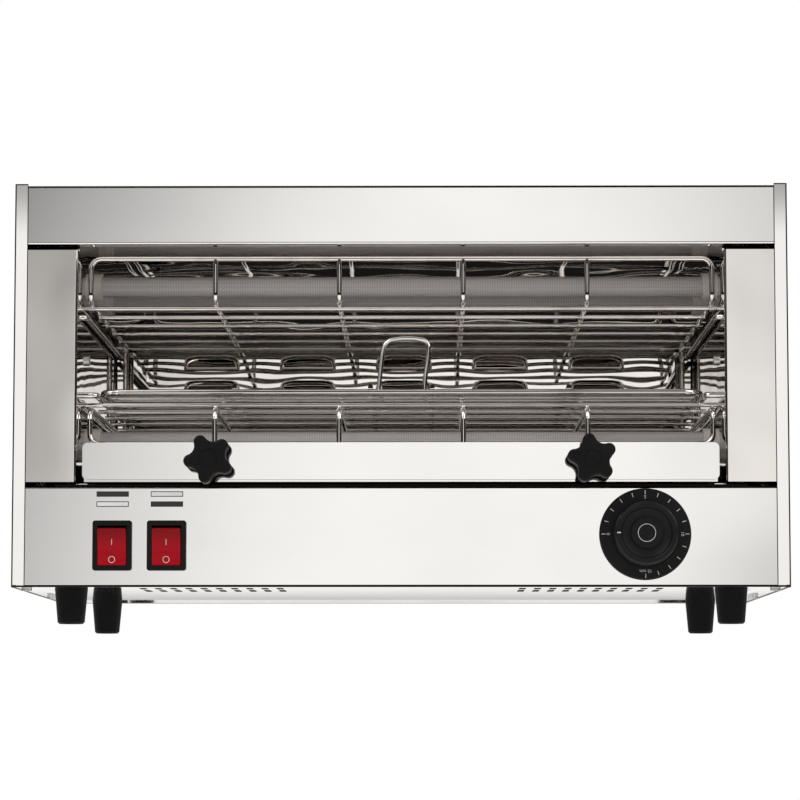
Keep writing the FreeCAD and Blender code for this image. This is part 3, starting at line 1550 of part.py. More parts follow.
def mains_parts():
    """Cable gland with its lock nut, the terminal block and the earth stud."""
    z = underside + s.gland_height
    x = gland_x
    inner = back - s.sheet_wall
    dome = doc.addObject("Part::Prism", "gland_dome")
    dome.Polygon = 6
    bind(dome, "Circumradius", s.gland_flange_radius)
    bind(dome, "Height", s.gland_reach / 2)
    place(dome, x, back, z, TURNS["y"])
    nose = doc.addObject("Part::Cone", "gland_nose")
    bind(nose, "Radius1", s.gland_radius + s.sheet_wall)
    bind(nose, "Radius2", s.gland_bore + 2 * s.sheet_wall)
    bind(nose, "Height", s.gland_reach / 2)
    place(nose, x, back + s.gland_reach / 2, z, TURNS["y"])
    thread = rod("gland_thread_rod", "y", (x, inner - s.gland_thread, z),
                 s.gland_thread + s.sheet_wall, s.gland_radius)
    bore = rod("gland_bore_rod", "y", (x, inner - s.gland_thread, z),
               s.gland_thread + s.sheet_wall + s.gland_reach, s.gland_bore)
    gland = cut("gland_cut", fused("gland_solid", [dome, nose, thread]), [bore])
    keep(gland, "cable_gland", "cabinet")
    nut = doc.addObject("Part::Prism", "gland_nut_blank")
    nut.Polygon = 6
    bind(nut, "Circumradius", s.gland_flange_radius)
    bind(nut, "Height", s.gland_nut_length)
    place(nut, x, inner - s.gland_nut_length, z, TURNS["y"])
    opening = rod("gland_nut_bore", "y", (x, inner - s.gland_nut_length, z),
                  s.gland_nut_length, s.gland_radius + s.cap_clearance)
    keep(cut("gland_nut_cut", nut, [opening]), "gland_lock_nut", "cabinet")

    first = back - s.block_rear_inset - s.block_width
    block = Folded("terminal_block")
    drawing = block.sketch("y", first)
    low = block_x - s.block_length / 2
    rectangle(drawing, (low, base_top), (low + s.block_length, base_top + s.block_height))
    poles = int(float(s.block_poles))
    for index in range(poles):
        x = low + s.block_length * (2 * index + 1) / (2 * poles)
        circle(drawing, x, base_top + s.block_height / 2, s.block_bore)
    block.pad("y", drawing, s.block_width)
    keep(block.body, "terminal_block", "cabinet")

    x, y = earth_place()
    stud = rod("earth_rod", "z", (x, y, base_under), s.earth_stud_height, s.earth_stud_radius)
    nut = doc.addObject("Part::Prism", "earth_nut")
    nut.Polygon = 6
    bind(nut, "Circumradius", s.earth_stud_radius * 2)
    bind(nut, "Height", s.nut_length)
    place(nut, x, y, base_top)
    keep(fused("earth_solid", [stud, nut]), "earth_stud", "cabinet")


side_panel("left_side_panel", -1)
side_panel("right_side_panel", 1)
top_cover()
control_panel()
base_panel()
rear_panel()
oven_wall("left_oven_wall", -1)
oven_wall("right_oven_wall", 1)
oven_floor()
oven_ceiling()
louvred_back()
heaters()
guard("upper_guard", upper_guard_z, s.upper_guard_reach, 1)
guard("lower_guard", lower_guard_z, s.lower_guard_reach, -1)
rack_bracket("left_rack_bracket", -1)
rack_bracket("right_rack_bracket", 1)
toasting_rack()
rack_loop()
tray_pan()
tray_front()
tray_studs()
star_knob("left", -1, s.star_turn_left)
star_knob("right", 1, s.star_turn_right)
for side_name, place_x in zip(("left", "right"), switch_places()):
    switch_housing(side_name, place_x)
    rocker(side_name, place_x)
switch_blades()
scale_disc()
timer_knob()
clockwork_case()
feet()
cabinet_screws()
mains_parts()
doc.recompute()

# Every object has to be sound before anything is written

for item in doc.Objects:
    if "Invalid" in item.State or "Error" in item.State:
        raise ValueError(f"{item.Label}: {item.State}")

os.makedirs("parts", exist_ok=True)
for label, item, group in pieces:
    shape = item.Shape
    if shape.isNull() or not shape.isValid() or not shape.Solids:
        raise ValueError(f"{label}: the shape is null, not valid or holds no solid")
    shape.exportStep(f"parts/{label}.step")
    print(f"{label}: {len(shape.Solids)} solids, {shape.Volume:.0f} mm3, body {group}")
print(f"{len(pieces)} sub-parts")
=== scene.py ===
"""Looks of a bar toaster: a polished steel cabinet with quartz tube heaters behind an open front.

Everything is in metres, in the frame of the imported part: X to the right, Y to the back, Z up.
The cabinet's front faces -Y, and the table is at Z 0.
"""

from __future__ import annotations

import json
import logging
import math
from dataclasses import dataclass, field, replace
from enum import Enum
from typing import Iterable, Optional, Sequence, Union

import bpy
import numpy as np
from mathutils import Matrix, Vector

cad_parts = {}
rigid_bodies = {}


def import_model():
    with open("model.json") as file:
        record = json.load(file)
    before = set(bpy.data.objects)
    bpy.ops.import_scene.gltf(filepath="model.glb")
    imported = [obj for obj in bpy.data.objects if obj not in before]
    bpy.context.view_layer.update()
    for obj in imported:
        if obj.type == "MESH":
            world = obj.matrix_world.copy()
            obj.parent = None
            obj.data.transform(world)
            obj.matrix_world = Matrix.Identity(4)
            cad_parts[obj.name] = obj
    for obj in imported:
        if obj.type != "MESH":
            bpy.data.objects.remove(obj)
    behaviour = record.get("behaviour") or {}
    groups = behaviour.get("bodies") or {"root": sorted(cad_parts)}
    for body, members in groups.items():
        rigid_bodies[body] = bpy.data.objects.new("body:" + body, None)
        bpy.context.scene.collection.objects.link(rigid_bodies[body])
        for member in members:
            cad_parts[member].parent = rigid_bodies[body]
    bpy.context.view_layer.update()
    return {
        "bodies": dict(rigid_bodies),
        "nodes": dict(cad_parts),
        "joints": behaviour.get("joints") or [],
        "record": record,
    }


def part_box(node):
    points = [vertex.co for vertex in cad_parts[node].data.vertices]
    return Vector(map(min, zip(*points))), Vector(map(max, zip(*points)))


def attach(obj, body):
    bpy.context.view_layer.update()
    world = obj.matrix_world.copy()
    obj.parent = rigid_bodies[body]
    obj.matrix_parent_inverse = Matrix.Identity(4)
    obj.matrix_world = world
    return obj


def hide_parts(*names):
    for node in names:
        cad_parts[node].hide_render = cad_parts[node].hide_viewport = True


LOG = logging.getLogger("bar_toaster")
MM = 0.001

Colour = tuple[float, float, float]
Point = tuple[float, float, float]


class Body(str, Enum):
    """The rigid bodies that the pieces made here ride on."""

    CABINET = "cabinet"
    RACK = "rack"
    LEFT_ROCKER = "left_switch_rocker"
    RIGHT_ROCKER = "right_switch_rocker"
    TIMER = "timer"


class Signal:
    """A shader socket that joins in sums as a number does."""

    def __init__(self, recipe: "Recipe", socket: bpy.types.NodeSocket) -> None:
        """Remember the socket and the recipe that owns it.

        Args:
            recipe: the recipe whose tree holds the socket.
            socket: an output socket.
        """
        self.recipe = recipe
        self.socket = socket

    def _maths(self, operation: str, *operands: "Value") -> "Signal":
        """Add one Math node on these operands."""
        return self.recipe.maths(operation, *operands)

    def __add__(self, other: "Value") -> "Signal":
        """Sum."""
        return self._maths("ADD", self, other)

    def __radd__(self, other: "Value") -> "Signal":
        """Sum with a number on the left."""
        return self._maths("ADD", other, self)

    def __sub__(self, other: "Value") -> "Signal":
        """Difference."""
        return self._maths("SUBTRACT", self, other)

    def __rsub__(self, other: "Value") -> "Signal":
        """Difference with a number on the left."""
        return self._maths("SUBTRACT", other, self)

    def __mul__(self, other: "Value") -> "Signal":
        """Product."""
        return self._maths("MULTIPLY", self, other)

    def __truediv__(self, other: "Value") -> "Signal":
        """Quotient."""
        return self._maths("DIVIDE", self, other)

    def ramp(self, low: float, high: float, start: float = 0.0, end: float = 1.0) -> "Signal":
        """Rise smoothly from start to end while this signal goes from low to high.

        Args:
            low: the signal where the rise begins.
            high: the signal where it ends.
            start: the result at low and below.
            end: the result at high and above.

        Returns:
            The eased signal.
        """
        return self.recipe.node(
            "ShaderNodeMapRange",
            {"interpolation_type": "SMOOTHSTEP"},
            {0: self, 1: low, 2: high, 3: start, 4: end},
        )


Value = Union[float, Signal]
Tone = Union[Colour, Signal]


class Recipe:
    """Writes a node tree: every node is made in one place, settings first and sockets next."""

    def __init__(self, tree: bpy.types.NodeTree) -> None:
        """Start with an empty tree."""
        self.tree = tree
        self.tree.nodes.clear()

    def node(
        self,
        kind: str,
        settings: Optional[dict[str, object]] = None,
        sockets: Optional[dict[Union[int, str], object]] = None,
        output: Union[int, str] = 0,
    ) -> Signal:
        """Add one node.

        Args:
            kind: the node's type name.
            settings: properties of the node, set before its sockets.
            sockets: values or signals, by socket name or number.
            output: the output that is passed on.

        Returns:
            The chosen output.
        """
        made = self.tree.nodes.new(kind)
        for name, value in (settings or {}).items():
            setattr(made, name, value)
        for key, value in (sockets or {}).items():
            if isinstance(value, Signal):
                self.tree.links.new(value.socket, made.inputs[key])
            else:
                made.inputs[key].default_value = value
        return Signal(self, made.outputs[output])

    def place(self) -> Signal:
        """Object coordinates, which are the frame's own metres."""
        return self.node("ShaderNodeTexCoord", output="Object")

    def axes(self) -> tuple[Signal, Signal, Signal]:
        """The three object coordinates on their own."""
        return self.parts(self.place())

    def parts(self, vector: Signal) -> tuple[Signal, Signal, Signal]:
        """The X, Y and Z of a vector."""
        outputs = self.node("ShaderNodeSeparateXYZ", sockets={0: vector}).socket.node.outputs
        return Signal(self, outputs[0]), Signal(self, outputs[1]), Signal(self, outputs[2])

    def grain(self, stretch: Point, detail: float = 2.0, rough: float = 0.5) -> Signal:
        """Noise on object coordinates, with so many features to the metre along each axis.

        Args:
            stretch: features to the metre along X, Y and Z.
            detail: octaves.
            rough: weight of the finer octaves.

        Returns:
            A signal about 0.5.
        """
        mapped = self.node("ShaderNodeMapping", sockets={"Vector": self.place(), "Scale": stretch})
        return self.node(
            "ShaderNodeTexNoise",
            sockets={"Vector": mapped, "Scale": 1.0, "Detail": detail, "Roughness": rough},
        )

    def blend(self, factor: Value, first: Tone, second: Tone) -> Signal:
        """Mix two colours.

        Args:
            factor: 0 for the first, 1 for the second.
            first: colour or signal.
            second: colour or signal.

        Returns:
            The mixed colour.
        """
        ends = [(*tone, 1.0) if isinstance(tone, tuple) else tone for tone in (first, second)]
        return self.node(
            "ShaderNodeMix", {"data_type": "RGBA"}, {0: factor, 6: ends[0], 7: ends[1]}, output=2
        )

    def maths(self, operation: str, *operands: Value) -> Signal:
        """One Math node on these operands."""
        return self.node("ShaderNodeMath", {"operation": operation}, dict(enumerate(operands)))

    def absolute(self, value: Value) -> Signal:
        """A value without its sign."""
        return self.maths("ABSOLUTE", value)

    def largest(self, first: Value, second: Value) -> Signal:
        """The larger of two values."""
        return self.maths("MAXIMUM", first, second)

    def outputs(self, kind: str, *names: str) -> list[Signal]:
        """Several outputs of one new node."""
        made = self.node(kind).socket.node.outputs
        return [Signal(self, made[name]) for name in names]

    def relief(self, height: Signal, depth: float, strength: float = 1.0) -> Signal:
        """A bump whose height signal is worth so many metres.

        Args:
            height: the height signal.
            depth: metres for a signal of one.
            strength: how much of it shows.

        Returns:
            The bumped normal.
        """
        sockets = {"Height": height, "Distance": depth, "Strength": strength}
        return self.node("ShaderNodeBump", sockets=sockets)


@dataclass(frozen=True)
class Finish:
    """A finish: its plain colour, gloss and metal, which a subclass varies over the surface."""

    title: str
    colour: Colour
    roughness: float = 0.4
    metallic: float = 0.0

    def sockets(self, recipe: Recipe) -> dict[str, object]:
        """Shader sockets that differ from the plain colour, gloss and metal."""
        return {}

    def material(self) -> bpy.types.Material:
        """Make the material, or find it where it was made before.

        Returns:
            A node material.
        """
        name = f"{self.title}_finish"
        known = bpy.data.materials.get(name)
        if known is not None:
            return known
        made = bpy.data.materials.new(name)
        made.use_nodes = True
        recipe = Recipe(made.node_tree)
        plain: dict[str, object] = {
            "Base Color": (*self.colour, 1.0),
            "Roughness": self.roughness,
            "Metallic": self.metallic,
        }
        plain.update(self.sockets(recipe))
        shader = recipe.node("ShaderNodeBsdfPrincipled", sockets=plain)
        recipe.tree.links.new(
            shader.socket, recipe.tree.nodes.new("ShaderNodeOutputMaterial").inputs["Surface"]
        )
        made.diffuse_color = (*self.colour, 1.0)
        return made


@dataclass(frozen=True)
class PolishedSheet(Finish):
    """Mirror polished stainless sheet: faint buffing lines, a few smears and a slight ripple.

    The lean turns the front flange of a side panel a little towards the middle, as it springs
    back from its bend: the height grows by lean for each metre away from the middle. Each rim
    is an axis number, the distance of the rim from nought along it and half the width of a
    painted dark line: painted reflection of a dark room where the sheet rolls over at an edge,
    and painted shade in the gap where two sheets meet. With a lean, painted shade also runs
    along the panel's lower outer fold. Over dull_above the front face darkens towards
    the top, a painted shade that stands in for a darker reflection.
    """

    ripple: float = 0.02
    ripples_per_metre: float = 9.0
    buffing: float = 0.02
    smearing: float = 0.02
    lean: float = 0.0
    rims: tuple[tuple[int, float, float], ...] = ()
    front: float = -124.35 * MM
    rim_edge: float = 0.2 * MM
    bend_depth: float = 1.3 * MM
    # Where the painted shade along a leaning panel's lower outer fold begins: height and distance
    # from the middle.
    seam_top: float = 21.0 * MM
    seam_x: float = 217.0 * MM
    # Height where painted shade over the front face begins, and the rise over which it deepens.
    dull_above: float = 0.0
    dull_rise: float = 34.0 * MM

    def rim_shade(self, recipe: Recipe) -> Signal:
        """Mask of the painted shade: one at rolled rims, sheet gaps and a leaning panel's lower
        fold.
        """
        places = recipe.axes()
        shade: Value = 0.0
        for axis, place, width in self.rims:
            side = recipe.absolute(places[axis])
            here = recipe.absolute(side - place).ramp(width, width + self.rim_edge, 1.0, 0.0)
            shade = recipe.largest(shade, here)
        bend = self.front + self.bend_depth
        shade = places[1].ramp(bend, bend + 0.3 * MM, 1.0, 0.0) * shade
        # painted shade along the lower outer fold of a leaning side panel, over its whole depth
        if self.lean:
            low = places[2].ramp(self.seam_top, self.seam_top + 0.4 * MM, 1.0, 0.0)
            beside = recipe.absolute(places[0]).ramp(self.seam_x, self.seam_x + 0.3 * MM)
            shade = recipe.largest(shade, low * beside)
        return shade

    def sockets(self, recipe: Recipe) -> dict[str, object]:
        """Buffing lines run along X; smears and ripple are broad; rims and the top get painted
        shade.
        """
        lines = recipe.grain((14.0, 900.0, 1100.0), 3.0, 0.6)
        smears = recipe.grain((11.0, 11.0, 16.0), 4.0, 0.55)
        height = recipe.grain((self.ripples_per_metre,) * 3, 1.0, 0.4) * (self.ripple * MM)
        if self.lean:
            across, _, _ = recipe.axes()
            height = height + recipe.absolute(across) * self.lean
        tone = recipe.blend(
            smears.ramp(0.35, 0.75), self.colour, tuple(0.965 * channel for channel in self.colour)
        )
        gloss = lines.ramp(0.3, 0.8) * self.buffing + smears.ramp(0.45, 0.8) * self.smearing
        # painted shade and painted reflection: near-black at rolled rims, sheet gaps and the lower
        # fold
        if self.rims:
            shade = self.rim_shade(recipe)
            tone = recipe.blend(shade, tone, (0.012, 0.012, 0.012))
            gloss = gloss + shade * 0.4
        # painted shade darkening the front face towards the top
        if self.dull_above:
            _, depth, height = recipe.axes()
            dull = height.ramp(self.dull_above, self.dull_above + self.dull_rise)
            dull = dull * depth.ramp(self.front + 0.5 * MM, self.front + 0.8 * MM, 1.0, 0.0)
            tone = recipe.blend(dull * 0.55, tone, (0.03, 0.03, 0.03))
        return {
            "Base Color": tone,
            "Roughness": gloss + self.roughness,
            "Normal": recipe.relief(height, 1.0),
        }


@dataclass(frozen=True)
class DrawnWire(Finish):
    """Bright drawn wire with light heat staining."""

    stain: Colour = (0.52, 0.45, 0.37)

    def sockets(self, recipe: Recipe) -> dict[str, object]:
        """Stains are patches of a few centimetres."""
        patch = recipe.grain((38.0, 38.0, 38.0), 3.0, 0.6)
        fine = recipe.grain((700.0, 700.0, 700.0), 2.0)
        return {
            "Base Color": recipe.blend(patch.ramp(0.45, 0.8) * 0.55, self.colour, self.stain),
            "Roughness": patch.ramp(0.4, 0.8) * 0.1 + self.roughness,
            "Normal": recipe.relief(fine, 0.004 * MM, 0.4),
        }


@dataclass(frozen=True)
class CutWire(DrawnWire):
    """Drawn wire whose sawn ends, in one upright plane and over one height, are dull and dark."""

    cut_y: float = -74.35 * MM
    cut_z: float = 137.8 * MM

    def sockets(self, recipe: Recipe) -> dict[str, object]:
        """The drawn wire's sockets, darkened at the sawn ends."""
        plain = super().sockets(recipe)
        _, depth, height = recipe.axes()
        ends = recipe.absolute(depth - self.cut_y).ramp(0.03 * MM, 0.06 * MM, 1.0, 0.0)
        ends = ends * height.ramp(self.cut_z, self.cut_z + 0.1 * MM)
        plain["Base Color"] = recipe.blend(ends, plain["Base Color"], (0.035, 0.03, 0.027))
        plain["Roughness"] = plain["Roughness"] + ends * 0.5
        return plain


@dataclass(frozen=True)
class MilkyQuartz(Finish):
    """Satin quartz through which the turns of the coil show as fine upright stripes."""

    clearness: float = 0.1
    stripes_per_metre: float = 700.0
    stripe_depth: float = 0.15

    def sockets(self, recipe: Recipe) -> dict[str, object]:
        """Stripes cross the tube, streaks run along it and the tone drifts slowly."""
        across, _, _ = recipe.axes()
        streaks = recipe.grain((5.0, 900.0, 900.0), 3.0)
        drift = recipe.grain((24.0, 60.0, 60.0), 2.0)
        wander = recipe.grain((90.0, 20.0, 20.0), 2.0)
        phase = across * (2 * math.pi * self.stripes_per_metre) + wander * 5.0
        wave = recipe.maths("SINE", phase)
        dark = tuple((1 - self.stripe_depth) * channel for channel in self.colour)
        light = tuple(min(1.0, 1.15 * channel) for channel in self.colour)
        tone = recipe.blend(streaks.ramp(0.3, 0.7), self.colour, light)
        return {
            "Base Color": recipe.blend(wave.ramp(-0.2, 1.0) * drift.ramp(0.2, 0.6), tone, dark),
            "Alpha": drift.ramp(0.3, 0.7) * 0.05 + (1.0 - self.clearness),
            "Roughness": streaks * 0.15 + self.roughness,
            "IOR": 1.46,
            "Coat Weight": 0.3,
        }


@dataclass(frozen=True)
class FiredClay(Finish):
    """Unglazed ceramic with pores and a little scorching."""

    def sockets(self, recipe: Recipe) -> dict[str, object]:
        """Fine pores and broad scorch marks."""
        pores = recipe.grain((1400.0, 1400.0, 1400.0), 3.0)
        scorch = recipe.grain((60.0, 60.0, 60.0), 3.0)
        dark = tuple(0.6 * channel for channel in self.colour)
        return {
            "Base Color": recipe.blend(scorch.ramp(0.5, 0.85) * 0.5, self.colour, dark),
            "Roughness": pores * 0.2 + self.roughness,
            "Normal": recipe.relief(pores, 0.05 * MM, 0.7),
        }


@dataclass(frozen=True)
class Moulding(Finish):
    """Moulded plastic or rubber: a fine grain and slightly uneven gloss."""

    grain_depth: float = 0.02
    grains_per_metre: float = 1600.0
    coat: float = 0.0
    shine: float = 0.5

    def sockets(self, recipe: Recipe) -> dict[str, object]:
        """Grain as bump; gloss and tone drift over centimetres."""
        fine = recipe.grain((self.grains_per_metre,) * 3, 2.0)
        drift = recipe.grain((55.0, 55.0, 55.0), 3.0)
        worn = tuple(min(1.0, 1.5 * channel + 0.004) for channel in self.colour)
        return {
            "Base Color": recipe.blend(drift.ramp(0.5, 0.85) * 0.5, self.colour, worn),
            "Roughness": drift.ramp(0.3, 0.8) * 0.12 + self.roughness,
            "Coat Weight": self.coat,
            "Specular IOR Level": self.shine,
            "Normal": recipe.relief(fine, self.grain_depth * MM, 0.6),
        }


@dataclass(frozen=True)
class GlowingRocker(Finish):
    """Clear red plastic with painted shade over its upper half and a faint painted glow for light
    through it.
    """

    centre_z: float = 43.4 * MM
    half: float = 11.0 * MM

    def sockets(self, recipe: Recipe) -> dict[str, object]:
        """Painted shade makes the upper half a little deeper in tone; a faint painted glow is
        added.
        """
        _, _, height = recipe.axes()
        drift = recipe.grain((260.0, 260.0, 260.0), 2.0)
        # painted shade deepening the tone over the upper half
        rise = (height - self.centre_z).ramp(-0.25 * self.half, 0.9 * self.half)
        deep = tuple(0.5 * channel for channel in self.colour)
        tone = recipe.blend(rise * 0.75, self.colour, deep)
        return {
            "Base Color": tone,
            # painted glow: faint emission standing in for light through the plastic
            "Emission Color": tone,
            "Emission Strength": 0.1,
            "Roughness": drift * 0.1 + self.roughness,
            "Specular IOR Level": 0.12,
            "Coat Weight": 0.05,
        }


@dataclass(frozen=True)
class Metal(Finish):
    """Plated or turned small metal parts."""

    def sockets(self, recipe: Recipe) -> dict[str, object]:
        """Fine scratches and slightly uneven plating."""
        fine = recipe.grain((500.0, 500.0, 500.0), 3.0)
        patch = recipe.grain((90.0, 90.0, 90.0), 2.0)
        dull = tuple(0.8 * channel for channel in self.colour)
        return {
            "Base Color": recipe.blend(patch.ramp(0.4, 0.8), self.colour, dull),
            "Roughness": fine * 0.2 + self.roughness,
            "Normal": recipe.relief(fine, 0.01 * MM, 0.5),
        }


@dataclass(frozen=True)
class Ink(Finish):
    """Printed ink with a slightly uneven cover."""

    def sockets(self, recipe: Recipe) -> dict[str, object]:
        """Tiny changes of tone."""
        fine = recipe.grain((2500.0, 2500.0, 2500.0), 2.0)
        thin = tuple(0.85 * channel + 0.01 for channel in self.colour)
        return {
            "Base Color": recipe.blend(fine.ramp(0.4, 0.7), self.colour, thin),
            "Roughness": fine * 0.2 + self.roughness,
        }


BODY_STEEL = PolishedSheet("polished_steel", (0.895, 0.883, 0.868), 0.045, 1.0, ripple=0.012)
# Side panels: painted dark reflection along the outer edge and the top and bottom rims of the
# front, painted shade in the gap by the header and along the lower fold, and painted shade over the
# top.
SIDE_STEEL = replace(
    BODY_STEEL,
    title="side_panel_steel",
    lean=0.035,
    rims=(
        (0, 220.0 * MM, 0.85 * MM),
        # painted shade in the gap between the flange and the header
        (0, 212.5 * MM, 0.12 * MM),
        (2, 250.0 * MM, 0.6 * MM),
        (2, 20.0 * MM, 0.9 * MM),
    ),
    # painted shade over the top of the flange's front
    dull_above=216.0 * MM,
)
# Header: painted dark reflection along its rolled top edge.
HEADER_STEEL = replace(BODY_STEEL, title="header_steel", rims=((2, 249.0 * MM, 1.25 * MM),))
# Control panel: painted dark reflection along its rolled top and bottom edges.
CONTROL_STEEL = replace(
    BODY_STEEL,
    title="control_panel_steel",
    rims=((2, 77.1 * MM, 1.0 * MM), (2, 20.0 * MM, 1.2 * MM)),
)
LINING_STEEL = PolishedSheet(
    "lining_steel",
    (0.86, 0.825, 0.79),
    0.004,
    1.0,
    ripple=0.45,
    ripples_per_metre=17.0,
    buffing=0.012,
    smearing=0.015,
)
# Oven floor: painted shade along its front edge.
FLOOR_STEEL = replace(LINING_STEEL, title="floor_steel", rims=((2, 77.6 * MM, 1.5 * MM),))
WIRE = DrawnWire("bright_wire", (0.90, 0.865, 0.835), 0.025, 1.0)
RACK_WIRE = CutWire("rack_wire", WIRE.colour, WIRE.roughness, 1.0)
QUARTZ = MilkyQuartz("milky_quartz", (0.64, 0.60, 0.59), 0.2)
COIL = Metal("heating_coil", (0.42, 0.39, 0.36), 0.4, 1.0)
CERAMIC = FiredClay("cap_ceramic", (0.84, 0.78, 0.73), 0.6)
ZINC = Metal("zinc_hardware", (0.70, 0.70, 0.70), 0.22, 1.0)
BRASS = Metal("brass_insert", (0.72, 0.56, 0.28), 0.28, 1.0)
KNOB_BLACK = Moulding("black_knob", (0.006, 0.0055, 0.0055), 0.42, shine=0.14)
DIAL_BLACK = Moulding("dial_black", (0.006, 0.0055, 0.0055), 0.42, grain_depth=0.008, shine=0.2)
BEZEL_BLACK = Moulding("black_gloss", (0.006, 0.0055, 0.005), 0.24, grain_depth=0.003, shine=0.2)
ROCKER_RED = GlowingRocker("red_rocker", (0.34, 0.0015, 0.008), 0.2)
FOOT_RUBBER = Moulding("foot_rubber", (0.004, 0.004, 0.0045), 0.5, grain_depth=0.03, shine=0.12)
CASE = Moulding("case_polymer", (0.74, 0.71, 0.62), 0.42)
TIN = Metal("tinned_blade", (0.74, 0.73, 0.70), 0.25, 1.0)
DARK_INK = Ink("dark_ink", (0.022, 0.020, 0.019), 0.5)
WHITE_INK = Ink("white_ink", (0.86, 0.85, 0.83), 0.5)
PALE_INK = Ink("pale_ink", (0.62, 0.62, 0.60), 0.5)


@dataclass
class Surface:
    """Points and faces worked out with numpy, which can be joined before they become a piece."""

    points: np.ndarray
    faces: list[tuple[int, ...]] = field(default_factory=list)

    def __add__(self, other: "Surface") -> "Surface":
        """Put two surfaces into one."""
        shift = len(self.points)
        moved = [tuple(index + shift for index in face) for face in other.faces]
        return Surface(np.vstack([self.points, other.points]), self.faces + moved)

    def capped(self, count: int, swapped: bool = False) -> "Surface":
        """Close both ends of a tube.

        Args:
            count: points in each ring.
            swapped: whether the rings run the other way round.

        Returns:
            The surface with an end face on its first and last ring.
        """
        last = len(self.points) - count
        first_end, last_end = tuple(range(count)), tuple(range(last, last + count))
        caps = [first_end, last_end[::-1]] if swapped else [first_end[::-1], last_end]
        return Surface(self.points, self.faces + caps)

    def piece(
        self, name: str, finish: Finish, body: Body, slot: str, smooth: Optional[float] = 35.0
    ) -> bpy.types.Object:
        """Make the mesh object, give it its finish and let it ride on a body.

        Args:
            name: the piece's name.
            finish: its finish.
            body: the body that it moves with.
            slot: the material slot of the record that it belongs to; not used.
            smooth: faces that meet at less than so many degrees shade as one; None for flat.

        Returns:
            The new object, at the origin.
        """
        mesh = bpy.data.meshes.new(name)
        mesh.from_pydata(self.points.tolist(), [], self.faces)
        mesh.validate()
        mesh.update()
        if smooth is not None:
            mesh.shade_smooth()
            mesh.set_sharp_from_angle(angle=math.radians(smooth))
        made = bpy.data.objects.new(name, mesh)
        bpy.context.scene.collection.objects.link(made)
        mesh.materials.append(finish.material())
        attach(made, body.value)
        return made


def joined(surfaces: Iterable[Surface]) -> Surface:
    """Several surfaces as one."""
    whole = Surface(np.empty((0, 3)))
    for surface in surfaces:
        whole = whole + surface
    return whole


def sheet_of(grid: np.ndarray, wrap_rows: bool = False, wrap_columns: bool = False) -> Surface:
    """Turn a grid of points into quads: each face joins four neighbours.

    Args:
        grid: points, rows by columns by 3.
        wrap_rows: the last row joins the first.
        wrap_columns: the last column joins the first.

    Returns:
        The surface.
    """
    rows, columns = grid.shape[:2]
    index = np.arange(rows * columns).reshape(rows, columns)
    if wrap_rows:
        index = np.vstack([index, index[:1]])
    if wrap_columns:
        index = np.hstack([index, index[:, :1]])
    quads = np.stack([index[:-1, :-1], index[:-1, 1:], index[1:, 1:], index[1:, :-1]], axis=-1)
    return Surface(grid.reshape(-1, 3), [tuple(face) for face in quads.reshape(-1, 4).tolist()])


def turned_grid(section: np.ndarray, centre: Point, sides: int) -> np.ndarray:
    """Turn a half section about an axis through the centre that runs to the front.

    The point at (r, h) and angle a lies at x = r cos a, z = r sin a and h before the centre's Y.

    Args:
        section: radius and distance to the front, one row for each point.
        centre: the axis passes through it.
        sides: facets around.

    Returns:
        Section by sides by 3.
    """
    angle = np.linspace(0.0, 2 * np.pi, sides, endpoint=False)
    radius, height = section[:, :1], section[:, 1:]
    across = centre[0] + radius * np.cos(angle)
    ahead = np.broadcast_to(centre[1] - height, across.shape)
    return np.stack([across, ahead, centre[2] + radius * np.sin(angle)], axis=-1)


def merged(places: Sequence[np.ndarray]) -> np.ndarray:
    """Sorted places along an axis, without those that nearly fall together.

    Args:
        places: arrays of places.

    Returns:
        One array.
    """
    whole = np.unique(np.round(np.concatenate(places), 7))
    return whole[np.concatenate([[True], np.diff(whole) > 1e-5])]


def lathe(profile: Sequence[tuple[float, float]], centre: Point, sides: int = 96) -> Surface:
    """Turn a half section that starts and ends on the axis; one point closes each pole.

    Args:
        profile: radius and distance to the front, from the rear pole to the front pole.
        centre: the axis passes through it.
        sides: facets around.

    Returns:
        A closed surface.
    """
    body = sheet_of(turned_grid(np.array(profile[1:-1]), centre, sides), wrap_columns=True)
    last = len(body.points)
    poles = np.array([[centre[0], centre[1] - profile[end][1], centre[2]] for end in (0, -1)])
    here = np.arange(sides)
    after = np.roll(here, -1)
    top = last - sides
    rear = np.stack([after, here, np.full(sides, last)], -1).tolist()
    fore = np.stack([top + here, top + after, np.full(sides, last + 1)], -1).tolist()
    return Surface(np.vstack([body.points, poles]), body.faces + list(map(tuple, rear + fore)))


def prism(outline: Sequence[tuple[float, float]], y_rear: float, y_front: float) -> Surface:
    """Thicken a flat outline in X and Z between two places along Y.

    Args:
        outline: corners, anticlockwise as seen from the front.
        y_rear: rear face.
        y_front: front face, nearer to the viewer.

    Returns:
        A closed surface.
    """
    flat = np.array(outline)
    count = len(flat)
    rings = [
        np.column_stack([flat[:, 0], np.full(count, place), flat[:, 1]])
        for place in (y_rear, y_front)
    ]
    return sheet_of(np.stack(rings), wrap_columns=True).capped(count)


def bar(x: float, z: float, width: float, height: float, y_rear: float, y_front: float) -> Surface:
    """A thin upright block.

    Args:
        x: middle.
        z: middle.
        width: along X.
        height: along Z.
        y_rear: rear face.
        y_front: front face.

    Returns:
        A closed surface.
    """
    w, h = width / 2, height / 2
    return prism([(x - w, z - h), (x + w, z - h), (x + w, z + h), (x - w, z + h)], y_rear, y_front)


def band(radius: float, thick: float, centre: Point, depth: float, sides: int = 64) -> Surface:
    """A flat ring that faces the front, of square section.

    Args:
        radius: middle of the ring.
        thick: width of the line.
        centre: its middle; the ring's rear lies at the centre's Y.
        depth: how far it stands to the front.
        sides: facets around.

    Returns:
        A closed surface.
    """
    inner, outer = radius - thick / 2, radius + thick / 2
    section = np.array([(inner, 0.0), (inner, depth), (outer, depth), (outer, 0.0)])
    return sheet_of(turned_grid(section, centre, sides), wrap_rows=True, wrap_columns=True)


